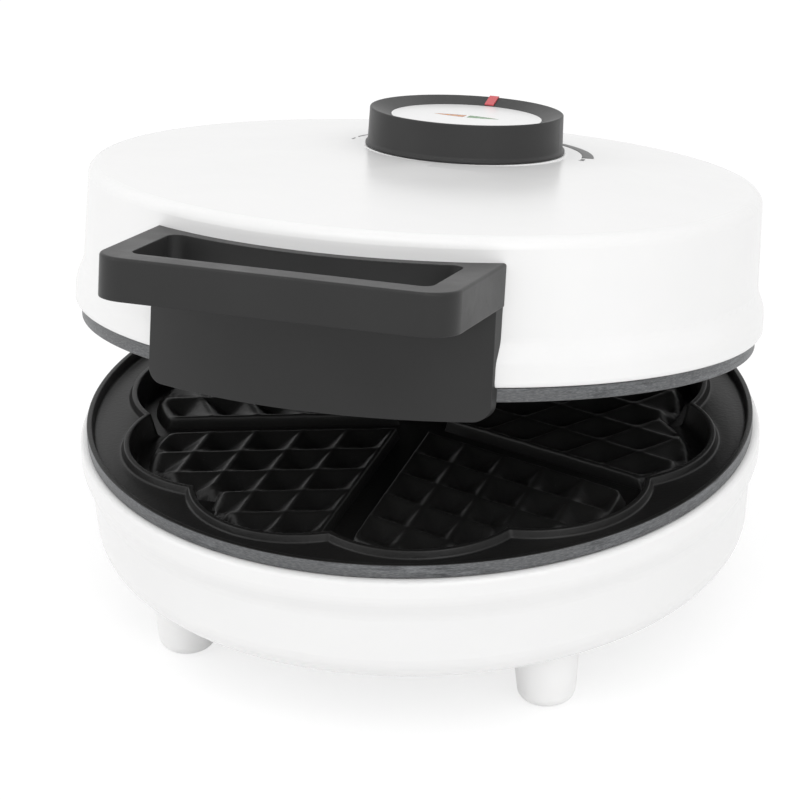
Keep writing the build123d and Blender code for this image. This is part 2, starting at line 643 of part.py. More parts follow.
def terminal_block():
    """Ceramic block with three ways, for the wires' ends."""
    block = Pos(0, BLOCK_Y, BASE_IN_Z + BLOCK_H / 2) * Box(BLOCK_L, BLOCK_W, BLOCK_H)
    block = fillet(block.edges().filter_by(Axis.Z), 1.2)
    for x, y in block_ways():
        block -= upright(WAY_R, BASE_IN_Z + BLOCK_H - WAY_DEEP, BASE_IN_Z + BLOCK_H + 1, x, y)
    for x in sorted({x for x, y in block_ways()}):
        tunnel = Pos(x, BLOCK_Y, BASE_IN_Z + BLOCK_H / 2 - 1) * Box(WAY_R, BLOCK_W + 1, WAY_R)
        block -= tunnel
    for x in BLOCK_SCREWS:
        head_r = SCREW_HEAD * SCREW_R + COUNTERBORE_FIT
        block -= upright(HOLE_R, BASE_IN_Z - 1, BASE_IN_Z + BLOCK_H + 1, x, BLOCK_Y)
        block -= upright(head_r, BASE_IN_Z + BLOCK_LEDGE, BASE_IN_Z + BLOCK_H + 1, x, BLOCK_Y)
    return block


def block_ways():
    """Centres of the terminal block's clamping screws."""
    pitch = BLOCK_L / BLOCK_WAYS
    columns = [pitch * (index - (BLOCK_WAYS - 1) / 2) for index in range(BLOCK_WAYS)]
    rows = (BLOCK_Y - BLOCK_W / 3.4, BLOCK_Y + BLOCK_W / 3.4)
    return [(x, y) for x in columns for y in rows]


def terminal_screws():
    """Clamping screws of the terminal block, and the two that hold it down."""
    top = BASE_IN_Z + BLOCK_H
    one = upright(WAY_R - SCREW_FIT, top - WAY_DEEP, top - 1)
    one -= Pos(0, 0, top - 1) * Box(2 * WAY_R, 0.6, 1.2)
    held = screw(BASE_IN_Z + BLOCK_LEDGE, BASE_IN_Z - BLOCK_SCREW_BITE + SCREW_FIT, SCREW_R)
    clamping = [Pos(x, y, 0) * one for x, y in block_ways()]
    return group(clamping + [Pos(x, BLOCK_Y, 0) * held for x in BLOCK_SCREWS])


def thermal_fuse():
    """Cut-out cartridge that lies against the back of the plate."""
    height = BACK_Z - FUSE_R - TUBE_FIT
    case = Pos(0, -FUSE_PLACE_R, height) * Rot(0, 90, 0) * upright(FUSE_R, -FUSE_L / 2, FUSE_L / 2)
    lead = Pos(0, -FUSE_PLACE_R, height) * Rot(0, 90, 0) * upright(FUSE_LEAD_R, -FUSE_L, FUSE_L)
    return case + lead


def fuse_clip():
    """Strap over the thermal cut-out."""
    strap = saddle(FUSE_R + TUBE_FIT, FUSE_R + TUBE_FIT, FUSE_CLIP_REACH, FUSE_L / 2)
    for side in (-1, 1):
        strap -= upright(CLAMP_SCREW_R + SCREW_FIT, 0, 2 * FUSE_R, side * FUSE_SCREW_OFF, 0)
    return Pos(0, -FUSE_PLACE_R, BACK_Z - FUSE_R - TUBE_FIT) * Rot(0, 0, 90) * strap


# Lid
def upper_wall_r(height):
    """Outer radius of the lid's wall between its bead and its roof."""
    step = LID_LOW + BULGE_H + BULGE_STEP
    share = (height - step) / (ROOF_Z - step)
    return UPPER_WALL_R + share * (UPPER_ROOF_R - UPPER_WALL_R)


def lid_blank(grow=0.0):
    """Outer form of the lid, shut: bead, leaning wall and a slightly domed roof."""
    low = LID_LOW
    bead = low + BULGE_H
    step = bead + BULGE_STEP
    body = turned((0, low - grow), (BEAD_R + grow, low - grow, BEAD_ROUND),
                  (BEAD_R + grow, bead, BULGE_ROUND), (UPPER_WALL_R + grow, step, BULGE_ROUND),
                  (UPPER_ROOF_R + grow, ROOF_Z + 2 * CROWN), (0, ROOF_Z + 2 * CROWN))
    dome_r = (UPPER_ROOF_R**2 + CROWN**2) / (2 * CROWN)
    body = body & (Pos(0, 0, TOP_Z - dome_r) * Sphere(dome_r))
    rings = body.edges().filter_by(lambda edge: edge.is_closed)
    return fillet(rings.sort_by(Axis.Z)[-1], UPPER_CORNER)


def lid_cavity():
    """Hollow of the lid: the wall's offset, a roof of even thickness and the mouth."""
    low = LID_LOW
    bead = low + BULGE_H
    step = bead + BULGE_STEP
    inner_bead = BEAD_R - WALL
    roof = ROOF_Z - WALL
    hollow = turned((0, low - 1), (MOUTH_R, low - 1), (MOUTH_R, low + MOUTH_H),
                    (inner_bead, low + MOUTH_H + inner_bead - MOUTH_R), (inner_bead, bead, INNER_ROUND),
                    (UPPER_WALL_R - WALL, step, INNER_ROUND), (UPPER_ROOF_R - WALL, roof + 2 * CROWN),
                    (0, roof + 2 * CROWN))
    dome_r = (UPPER_ROOF_R**2 + CROWN**2) / (2 * CROWN)
    return hollow & (Pos(0, 0, TOP_Z - WALL - dome_r) * Sphere(dome_r))


def handle_boss_places():
    """Angle about Z and height of each boss of the handle."""
    heights = [LID_Z + height for height in HANDLE_BOSS_Z]
    return [(-90.0 + angle, height) for angle in HANDLE_BOSS_ANGLES for height in heights]


def along_radius(part, angle, height):
    """Puts a part made along Z on a line that leaves the Z axis at an angle."""
    return Rot(0, 0, angle) * Pos(0, 0, height) * Rot(0, 90, 0) * part


def upper_housing():
    """Lid shell with its hinge knuckle, dial seat, locating posts and holes for the handle."""
    low = LID_LOW
    arm = bracket_plate(EAR_ANCHOR_IN, KNUCKLE_ANCHOR_OUT, low + KNUCKLE_LIFT, low + KNUCKLE_RISE)
    shell = lid_blank() + extrude(arm, amount=KNUCKLE_W / 2, both=True)
    shell += upright(SEAT_PAD_R, ROOF_Z - 1, TOP_Z, 0, KNOB_Y)
    shell -= lid_cavity()
    shell -= upright(RIM_R + PLATE_SIDE_GAP, PARTING, low)
    shell -= across_hinge(PIN_HINGE_R + HINGE_FIT, -KNUCKLE_W, KNUCKLE_W)
    sheet_top = LID_Z - SHEET_Z + SHEET
    for angle in LOCATING_ANGLES:
        place = polar(BOSS_PLACE_R, angle)
        shell += upright(POST_R, sheet_top, TOP_Z - 1.5 * WALL, place.X, place.Y)
    shell += upright(HOLDER_R + 1, HOLDER_SEAT_Z, TOP_Z - WALL, 0, KNOB_Y)
    shell -= upright(SHAFT_R + SHAFT_HOLE_FIT, HOLDER_SEAT_Z - 1, TOP_Z + 1, 0, KNOB_Y)
    for side in (-1, 1):
        shell -= upright(LAMP_R, HOLDER_SEAT_Z - 1, TOP_Z + 1, side * LAMP_X, KNOB_Y)
        peg = upright(HOLDER_PEG_R + LAMP_FIT, HOLDER_SEAT_Z - 1, HOLDER_SEAT_Z + HOLDER_PEG_H + LAMP_FIT)
        shell -= Pos(0, KNOB_Y + side * HOLDER_PEG_Y, 0) * peg
    for angle, height in handle_boss_places():
        hole = upright(HANDLE_BOSS_R + HANDLE_BOSS_FIT, UPPER_ROOF_R - 5 * WALL, PANEL_R + 5 * WALL)
        shell -= along_radius(hole, angle, height)
    return shell


def handle():
    """Curved panel on the front of the lid with a loop to lift it by."""
    sector = Circle(PANEL_R) - Circle(UPPER_ROOF_R - PANEL_REACH_IN)
    face_y = -sqrt(PANEL_R**2 - (PANEL_W / 2)**2)
    wall_y = -sqrt(UPPER_WALL_R**2 - (PANEL_W / 2)**2)
    middle_x = PANEL_W / 2 - face_y * PANEL_FLARE / (wall_y - face_y)
    front = make_face(Polyline((-middle_x, 0), (middle_x, 0), (PANEL_W / 2, face_y),
                               (PANEL_W / 2, -2 * PANEL_R), (-PANEL_W / 2, -2 * PANEL_R),
                               (-PANEL_W / 2, face_y), close=True))
    tall = LOOP_TOP - LOOP_H / 2 - PANEL_LOW
    panel = Pos(0, 0, LID_Z + PANEL_LOW) * extrude(sector & front, amount=tall)
    lowest = panel.edges().group_by(Axis.Z)[0]
    panel = fillet([lowest.sort_by(Axis.X)[0], lowest.sort_by(Axis.X)[-1]], PANEL_CORNER)
    back = UPPER_ROOF_R - PANEL_REACH_IN
    grip = Pos(0, -(LOOP_FRONT + back / 2) / 2) * Rectangle(LOOP_W, LOOP_FRONT - back / 2)
    grip = fillet(grip.vertices().sort_by(Axis.Y)[:2], LOOP_CORNER)
    hole_front = LOOP_FRONT - GRIP_BAR
    hole_w = LOOP_W - 2 * SIDE_BAR
    hole = Pos(0, -hole_front / 2) * Rectangle(hole_w, hole_front) - Circle(PANEL_R)
    hole = fillet(hole.vertices(), FINGER_CORNER)
    loop_z = LID_Z + LOOP_TOP - LOOP_H
    loop = Pos(0, 0, loop_z) * extrude(grip, amount=LOOP_H)
    outside = [edge for edge in loop.edges().group_by(Axis.Z)[-1] if edge.center().Y < -back / 2 - 1]
    loop = fillet(outside, LOOP_EDGE)
    loop -= Pos(0, 0, loop_z - 1) * extrude(hole, amount=LOOP_H + 2)
    mould = panel + loop - lid_blank(HANDLE_SEAT)
    lip_z = LOWER_TOP + HOUSING_SIDE_GAP
    mould -= upright(RIM_R + PLATE_SIDE_GAP, lip_z, LID_LOW)
    mould -= upright(BEAD_R + HOUSING_SIDE_GAP, lip_z - 2 * BAND, lip_z)
    for angle, height in handle_boss_places():
        inner = upper_wall_r(height) - WALL - WASHER_SEAT
        boss = upright(HANDLE_BOSS_R, inner, PANEL_R - PANEL_SKIN)
        mould += along_radius(boss, angle, height)
        mould -= along_radius(upright(HOLE_R, inner - 1, inner + HANDLE_SCREW_L + 1), angle, height)
    return mould


def handle_screws():
    """Screws that hold the handle from inside the lid."""
    screws = []
    for angle, height in handle_boss_places():
        inner = upper_wall_r(height) - WALL - WASHER_SEAT
        one = screw(inner - WASHER_T, inner + HANDLE_SCREW_L, SCREW_R)
        screws.append(along_radius(one, angle, height))
    return group(screws)


def handle_washers():
    """Washers below the heads of the handle's screws."""
    rings = []
    for angle, height in handle_boss_places():
        inner = upper_wall_r(height) - WALL - WASHER_SEAT
        one = upright(WASHER_R, inner - WASHER_T, inner)
        one -= upright(HOLE_R, inner - 2 * WASHER_T, inner + 1)
        rings.append(along_radius(one, angle, height))
    return group(rings)


def thermostat():
    """Bimetal thermostat: sensor on the plate, collar on its bracket, bearing for the shaft."""
    collar = THERMOSTAT_Z + COLLAR_H
    body = turned((0, SENSOR_Z), (SENSOR_R, SENSOR_Z, 0.6), (SENSOR_R, THERMOSTAT_Z),
                  (COLLAR_R, THERMOSTAT_Z), (COLLAR_R, collar, 0.8), (THERMOSTAT_R, collar),
                  (THERMOSTAT_R, THERMOSTAT_TOP, 0.8), (0, THERMOSTAT_TOP))
    bearing = upright(SHAFT_R + SHAFT_FIT, THERMOSTAT_TOP - SHAFT_IN_BODY - SHAFT_END, THERMOSTAT_TOP + 1)
    tabs = Pos(0, 0, collar + TAB_H / 2) * Box(2 * COLLAR_R - 1, TAB_W, TAB_H)
    return Pos(0, KNOB_Y, 0) * (body + tabs - bearing)


def thermostat_bracket():
    """Sheet bracket that carries the thermostat on the reflector."""
    plan = fillet(Rectangle(BRACKET_L, BRACKET_W).vertices(), 3.0) - Circle(SENSOR_R + SHAFT_HOLE_FIT)
    bracket = Pos(0, KNOB_Y, THERMOSTAT_Z - BRACKET_T) * extrude(plan, amount=BRACKET_T)
    for side in (-1, 1):
        bracket -= upright(HOLE_R, THERMOSTAT_Z - 2 * BRACKET_T, THERMOSTAT_Z + 1,
                           side * BRACKET_SCREW, KNOB_Y)
    return bracket


def thermostat_screws():
    """Screws through the bracket and the reflector."""
    one = screw(THERMOSTAT_Z, THERMOSTAT_Z - BRACKET_T - SHEET - NUT_H - 0.5, SCREW_R)
    return group([Pos(side * BRACKET_SCREW, KNOB_Y, 0) * one for side in (-1, 1)])


def thermostat_nuts():
    """Nuts of the bracket's screws."""
    top = THERMOSTAT_Z - BRACKET_T - SHEET
    plan = RegularPolygon(NUT_R, 6) - Circle(HOLE_R)
    one = Pos(0, 0, top - NUT_H) * extrude(plan, amount=NUT_H)
    return group([Pos(side * BRACKET_SCREW, KNOB_Y, 0) * one for side in (-1, 1)])


def lamp_holder():
    """Ring under the roof that holds the two pilot lamps, round the shaft."""
    ring = upright(HOLDER_R, HOLDER_SEAT_Z - HOLDER_T, HOLDER_SEAT_Z)
    ring -= upright(SHAFT_R + SHAFT_HOLE_FIT, HOLDER_SEAT_Z - HOLDER_T - 1, HOLDER_SEAT_Z + 1)
    for side in (-1, 1):
        ring -= upright(LAMP_R + LAMP_FIT, HOLDER_SEAT_Z - HOLDER_T - 1, HOLDER_SEAT_Z + 1, side * LAMP_X)
        ring += upright(HOLDER_PEG_R, HOLDER_SEAT_Z - 1, HOLDER_SEAT_Z + HOLDER_PEG_H, 0, side * HOLDER_PEG_Y)
    return Pos(0, KNOB_Y, 0) * ring


def pilot_lamps():
    """Two glow lamps that light the dial's windows from below."""
    top = HOLDER_SEAT_Z
    one = turned((0, top - LAMP_L), (LAMP_R, top - LAMP_L), (LAMP_R, top, 0.9 * LAMP_R), (0, top))
    return group([Pos(side * LAMP_X, KNOB_Y, 0) * one for side in (-1, 1)])


# Knob, made at the origin and put on its seat
def funnel_z(radius):
    """Height of the knob's sloping inner face."""
    outer = KNOB_R - KNOB_RIM
    share = (outer - radius) / (outer - DIAL_R - DIAL_FIT)
    return KNOB_H - share * DIAL_DROP


def window_oval(inset=0.0):
    """Pointed oval across the middle of the dial, as two arcs."""
    radius = (WINDOW_LONG**2 + WINDOW_WIDE**2) / (4 * WINDOW_WIDE)
    shift = radius - WINDOW_WIDE / 2
    return (Pos(0, shift) * Circle(radius - inset)) & (Pos(0, -shift) * Circle(radius - inset))


def window_half(side, inset=0.0):
    """One half of the oval: -1 is the left window, 1 the right."""
    split = WINDOW_SPLIT / 2 + inset
    keep = Pos(side * (split + WINDOW_LONG / 2), 0) * Rectangle(WINDOW_LONG, 2 * WINDOW_WIDE)
    return window_oval(inset) & keep


def pointer_section(grow):
    """Outline of the pointer across X, on the funnel and over the knob's rim."""
    start = DIAL_R + DIAL_FIT + POINTER_START - grow
    rim = KNOB_R - KNOB_RIM
    up = POINTER_PROUD if grow == 0 else KNOB_FLARE
    end = KNOB_R - POINTER_END + (KNOB_FLARE if grow else 0)
    return make_face(Polyline((start, funnel_z(start) - POINTER_DEEP - grow), (start, funnel_z(start) + up),
                              (rim, KNOB_H + up), (end, KNOB_H + up),
                              (end, KNOB_H - POINTER_DEEP - grow), close=True))


def knob():
    """Hollow knob with a flared foot, a funnel down to the dial and a hub for the shaft."""
    seat = DIAL_R + DIAL_FIT
    seat_z = KNOB_H - DIAL_DROP - DIAL_T
    web = seat_z - WEB_T
    inner = KNOB_R - KNOB_WALL
    cap = turned((0, web), (inner, web, 1.0), (inner, 0), (KNOB_R + KNOB_FLARE, 0),
                 (KNOB_R + KNOB_FLARE, KNOB_FLARE_H, 0.2),
                 (KNOB_R + KNOB_DRAFT, KNOB_FLARE_TOP, KNOB_FLARE_CURVE), (KNOB_R, KNOB_H, 0.4),
                 (KNOB_R - KNOB_RIM, KNOB_H), (seat, KNOB_H - DIAL_DROP),
                 (seat, seat_z), (0, seat_z))
    cap += upright(HUB_R, HUB_CLEAR, web + 1)
    cap -= shaft_bar(SHAFT_FIT, HUB_CLEAR - 1, HUB_CLEAR + SHAFT_IN_KNOB)
    for side in (-1, 1):
        light = window_half(side, WINDOW_LEDGE)
        cap -= Pos(0, 0, web - 1) * extrude(light, amount=WEB_T + 2)
    slot = extrude(Plane.YZ * pointer_section(WINDOW_FIT), amount=POINTER_W / 2 + WINDOW_FIT, both=True)
    return cap - slot


def shaft_bar(grow, low, high):
    """Round bar with a flat on the front side."""
    bar = upright(SHAFT_R + grow, low, high)
    flat = Pos(0, -2 * SHAFT_R + SHAFT_FLAT - grow, (low + high) / 2)
    return bar - flat * Box(4 * SHAFT_R, 2 * SHAFT_R, high - low + 2)


def dial_disc():
    """White disc in the knob's middle with the openings of the two windows."""
    disc = upright(DIAL_R, KNOB_H - DIAL_DROP - DIAL_T, KNOB_H - DIAL_DROP)
    for side in (-1, 1):
        disc -= Pos(0, 0, KNOB_H - DIAL_DROP - 2 * DIAL_T) * extrude(window_half(side), amount=3 * DIAL_T)
    return disc


def dial_window(side):
    """Coloured lens in the dial, resting on the knob's web."""
    lens = extrude(window_half(side, WINDOW_FIT), amount=DIAL_T)
    return Pos(0, 0, KNOB_H - DIAL_DROP - DIAL_T) * lens


def pointer():
    """Coloured mark set into the funnel and the rim."""
    return extrude(Plane.YZ * pointer_section(0.0), amount=POINTER_W / 2, both=True)


def thermostat_shaft():
    """Shaft from the thermostat's bearing up into the knob."""
    low = THERMOSTAT_TOP - SHAFT_IN_BODY - KNOB_Z
    round_end = THERMOSTAT_TOP - KNOB_Z + SHAFT_ROUND_L
    top = HUB_CLEAR + SHAFT_IN_KNOB - SHAFT_END
    return upright(SHAFT_R, low, round_end) + shaft_bar(0.0, round_end - 0.1, top)


def on_base(part):
    """Places a plate-level part in the base."""
    return Pos(0, 0, PARTING) * part


def on_lid(part):
    """Turns a plate-level part over and places it in the shut lid."""
    return Pos(0, 0, LID_Z) * mirror(part, about=Plane.XY)


def on_knob(part):
    """Places a knob part on the shut lid."""
    return Pos(0, KNOB_Y, KNOB_Z) * part


def hinge_pin():
    """Steel pin through the ears and the knuckle."""
    reach = KNUCKLE_W / 2 + KNUCKLE_GAP + EAR_T - PIN_RECESS
    return across_hinge(PIN_HINGE_R, -reach, reach)


baking_plate = plate()
tube = swept_tube(element_path(TUBE_Z), TUBE_R)
post_seat = SHEET_Z - SHEET - POST_LEDGE
front_left, front_right, rear_left, rear_right = [Pos(x, y, 0) * foot() for x, y in foot_places()]

base_nodes = {
    "lower_housing": lower_housing(),
    "bottom_cover": bottom_cover(),
    "bottom_cover_screws": cover_screws(),
    "foot_front_left": front_left,
    "foot_front_right": front_right,
    "foot_rear_left": rear_left,
    "foot_rear_right": rear_right,
    "lower_plate": on_base(baking_plate),
    "lower_heating_element": on_base(tube),
    "lower_element_pins": on_base(element_pins()),
    "lower_element_clamps": on_base(element_clamps()),
    "lower_clamp_screws": on_base(clamp_screws(True)),
    "lower_reflector": on_base(reflector(False)),
    "lower_plate_screws": on_base(plate_screws(post_seat)),
    "thermal_fuse": on_base(thermal_fuse()),
    "fuse_clip": on_base(fuse_clip()),
    "terminal_block": terminal_block(),
    "terminal_screws": terminal_screws(),
    "cord_gland": cord_gland(),
    "hinge_pin": hinge_pin(),
}
lid_nodes = {
    "upper_housing": upper_housing(),
    "upper_plate": on_lid(baking_plate),
    "upper_heating_element": on_lid(tube),
    "upper_element_pins": on_lid(element_pins()),
    "upper_element_clamps": on_lid(element_clamps()),
    "upper_clamp_screws": on_lid(clamp_screws(False)),
    "upper_reflector": on_lid(reflector(True)),
    "upper_plate_screws": on_lid(plate_screws(SHEET_Z - SHEET)),
    "handle": handle(),
    "handle_screws": handle_screws(),
    "handle_washers": handle_washers(),
    "thermostat": thermostat(),
    "thermostat_bracket": thermostat_bracket(),
    "thermostat_screws": thermostat_screws(),
    "thermostat_nuts": thermostat_nuts(),
    "lamp_holder": lamp_holder(),
    "pilot_lamps": pilot_lamps(),
    "knob": on_knob(knob()),
    "dial_disc": on_knob(dial_disc()),
    "window_heating": on_knob(dial_window(-1)),
    "window_ready": on_knob(dial_window(1)),
    "knob_pointer": on_knob(pointer()),
    "thermostat_shaft": on_knob(thermostat_shaft()),
}
hinge_axis = Axis((0, HINGE_Y, HINGE_Z), (-1, 0, 0))

os.makedirs("parts", exist_ok=True)
for name, part in base_nodes.items():
    export_step(part, f"parts/{name}.step")
for name, part in lid_nodes.items():
    export_step(part.rotate(hinge_axis, LID_REST), f"parts/{name}.step")
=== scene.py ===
import math
import bmesh
import bpy
import numpy as np
from mathutils import Matrix, Vector


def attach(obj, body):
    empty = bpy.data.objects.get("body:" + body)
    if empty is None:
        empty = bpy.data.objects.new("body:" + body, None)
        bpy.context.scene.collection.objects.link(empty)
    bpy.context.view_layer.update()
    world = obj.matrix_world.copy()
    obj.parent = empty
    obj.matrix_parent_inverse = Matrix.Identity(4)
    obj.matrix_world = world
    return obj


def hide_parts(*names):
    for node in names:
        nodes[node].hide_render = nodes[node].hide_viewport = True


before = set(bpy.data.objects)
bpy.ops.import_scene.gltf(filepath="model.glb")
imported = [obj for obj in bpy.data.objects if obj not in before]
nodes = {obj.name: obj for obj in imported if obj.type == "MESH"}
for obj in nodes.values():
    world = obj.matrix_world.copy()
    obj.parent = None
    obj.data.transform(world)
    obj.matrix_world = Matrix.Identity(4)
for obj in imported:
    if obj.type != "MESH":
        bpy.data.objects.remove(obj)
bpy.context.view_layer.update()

# Heart waffle iron. Sizes below are in millimetres where a name ends in nothing else, and a shape is
# brought to metres by MM when it becomes a mesh. X points right, Y to the hinge, Z up.
MM = 0.001

# Plates, with the rim's top face at height 0 and the hearts facing up
RIM_R = 104.0
RIM_W = 1.6
RIM_EDGE = 0.4
BAND = 4.2
LAND_DROP = 3.1
LAND_SLOPE = 0.8
LAND_FOOT = 0.8
HEARTS = 5
LOBE_REACH = 95.0
LOBE_R = 35.6
LOBE_DROP = 0.6
LOBE_LEAN = 0.8
LOBE_TOP = 1.6
HEART_DRAFT = 1.6
FLOOR_Z = -8.6
BACK_Z = -12.0
TUBE_Z = -15.25
TUBE_GROOVE_R = 3.35
SEAT_IN_R = 50.0
SEAT_OUT_R = 70.0
WELL_R = 98.4
COLLAR_R = 100.6
COLLAR_Z = -9.15
SNAP_Z = -7.9
SNAP_OUT = 0.7
CHANNEL = 10.0
MARGIN = 9.6
RIDGE_PITCH = 13.7
RIDGE_TOP = 1.2
RIDGE_H = 4.0
PIT_RISE = 0.3
ROUND_STEPS = 50       # samples of one lobe round the plate
SUNK = 0.8             # how deep the ridges' edges go into the plate's floor
ROOT = 1.6             # depth of the ridges' closed underside in the plate's metal
LOWER_RIM_Z = 62.25
UPPER_RIM_Z = 62.55
HINGE_Y = 119.96
HINGE_Z = 70.65
LID_REST = math.radians(13.28)

# Roof of the lid, shut, and the printed heat scale round the knob
ROOF_TOP_Z = 112.05
ROOF_DOME_R = 2541.76
KNOB_Y = 40.0
KNOB_R = 30.65
SCALE_IN_R = 37.2
SCALE_THICK = (3.8, 0.4)   # width of the printed wedge at its right and at its left end
SCALE_FROM = (11.2, 9.8)   # angles of its right end's outer and inner corners, in degrees
SCALE_TO = 173.0
SCALE_SWELL = 1.35         # how late the wedge widens on its way to the right end
NUMERALS = (("scale_one", "1", -37.2, 39.6), ("scale_five", "5", 37.9, 42.4))
NUMERAL_SIZE = 4.2
INK = 0.06

# The photograph's camera, in millimetres, and its lens on a 36 mm sensor
CAMERA_AT = (336.37, -995.94, 576.79)
CAMERA_RIGHT = (0.94915, 0.31384, -0.02473)
CAMERA_UP = (-0.1164, 0.42286, 0.89869)
CAMERA_BACK = (0.2925, -0.85011, 0.43789)
LENS = 168.22


# Meshes
def filleted(corners, steps=5):
    """Polyline with rounded corners. Each corner is (a, b, radius): the arc touches both sides at
    radius * tan(turn / 2) from the corner and is sampled evenly along its turn."""
    points = np.array([corner[:2] for corner in corners], float)
    line = [points[0]]
    for index in range(1, len(points) - 1):
        radius = corners[index][2] if len(corners[index]) > 2 else 0.0
        here = points[index]
        back = points[index - 1] - here
        ahead = points[index + 1] - here
        back_l = np.hypot(*back)
        ahead_l = np.hypot(*ahead)
        back = back / back_l
        ahead = ahead / ahead_l
        inside = math.acos(max(-1.0, min(1.0, float(back @ ahead))))
        if radius <= 0 or inside > math.pi - 0.02:
            line.append(here)
            continue
        reach = min(radius / math.tan(inside / 2), 0.49 * back_l, 0.49 * ahead_l)
        radius = reach * math.tan(inside / 2)
        middle = back + ahead
        centre = here + middle / np.hypot(*middle) * radius / math.sin(inside / 2)
        first = here + back * reach - centre
        last = here + ahead * reach - centre
        turn = math.pi - inside
        t = np.linspace(0.0, 1.0, steps + 1)[:, None]
        arc = (np.sin((1 - t) * turn) * first + np.sin(t * turn) * last) / math.sin(turn)
        line.extend(centre + arc)
    line.append(points[-1])
    return np.array(line)


def mesh_piece(name, points, quads, triangles=None, uv=None, marks=None):
    """Object from arrays: points in millimetres, faces as rows of indices. uv has one pair for each
    corner of the quads, and marks is an amount from 0 to 1 for each point."""
    mesh = bpy.data.meshes.new(name)
    faces = [quads] + ([triangles] if triangles is not None and len(triangles) else [])
    corners = np.concatenate([part.ravel() for part in faces]).astype(np.int32)
    sizes = np.concatenate([np.full(len(part), part.shape[1]) for part in faces]).astype(np.int32)
    starts = np.concatenate([[0], np.cumsum(sizes)[:-1]]).astype(np.int32)
    mesh.vertices.add(len(points))
    mesh.vertices.foreach_set("co", (np.asarray(points) * MM).astype(np.float32).ravel())
    mesh.loops.add(len(corners))
    mesh.loops.foreach_set("vertex_index", corners)
    mesh.polygons.add(len(sizes))
    mesh.polygons.foreach_set("loop_start", starts)
    mesh.polygons.foreach_set("loop_total", sizes)
    mesh.polygons.foreach_set("use_smooth", np.ones(len(sizes), bool))
    mesh.update(calc_edges=True)
    if uv is not None:
        full = np.zeros((len(corners), 2), np.float32)
        full[:len(uv)] = uv
        mesh.uv_layers.new(name="surface").data.foreach_set("uv", full.ravel())
    if marks is not None:
        layer = mesh.attributes.new("bare", "FLOAT", "POINT")
        layer.data.foreach_set("value", np.asarray(marks, np.float32))
    mesh.validate()
    piece = bpy.data.objects.new(name, mesh)
    bpy.context.scene.collection.objects.link(piece)
    return piece


def tube_faces(rows, columns):
    """Quads of a surface that is closed round its columns, rows first."""
    row = np.arange(rows - 1)[:, None]
    column = np.arange(columns)[None, :]
    after = (column + 1) % columns
    a = row * columns + column
    b = row * columns + after
    return np.stack([a, b, b + columns, a + columns], axis=-1).reshape(-1, 4)


def lobe_angles():
    """Angles round the plate, in radians: ROUND_STEPS to a lobe, from the cusp at the hinge."""
    count = 2 * HEARTS * ROUND_STEPS
    return math.pi / 2 + np.arange(count) * (2 * math.pi / count)


def lobe_radius(angle, inset):
    """Radius of the lobed wall's outline moved in by inset: the far side of a circle of radius
    LOBE_R - inset whose centre lies on the middle line of the lobe that the angle falls in."""
    half = math.pi / (2 * HEARTS)
    off = np.mod(angle + math.pi / 2, 2 * half) - half
    centre = LOBE_REACH - LOBE_R
    radius = LOBE_R - inset
    return centre * np.cos(off) + np.sqrt(np.maximum(radius**2 - (centre * np.sin(off))**2, 0.0))


def depth_inside(x, y):
    """Distance in from the lobed wall's foot: LOBE_R less the distance to the lobe's centre,
    counted square to the lobe's middle line for a point nearer the plate's middle than that."""
    angle = np.arctan2(y, x)
    radius = np.hypot(x, y)
    half = math.pi / (2 * HEARTS)
    off = np.mod(angle + math.pi / 2, 2 * half) - half
    along = np.maximum(radius * np.cos(off) - (LOBE_REACH - LOBE_R), 0.0)
    return LOBE_R - np.hypot(along, radius * np.sin(off))


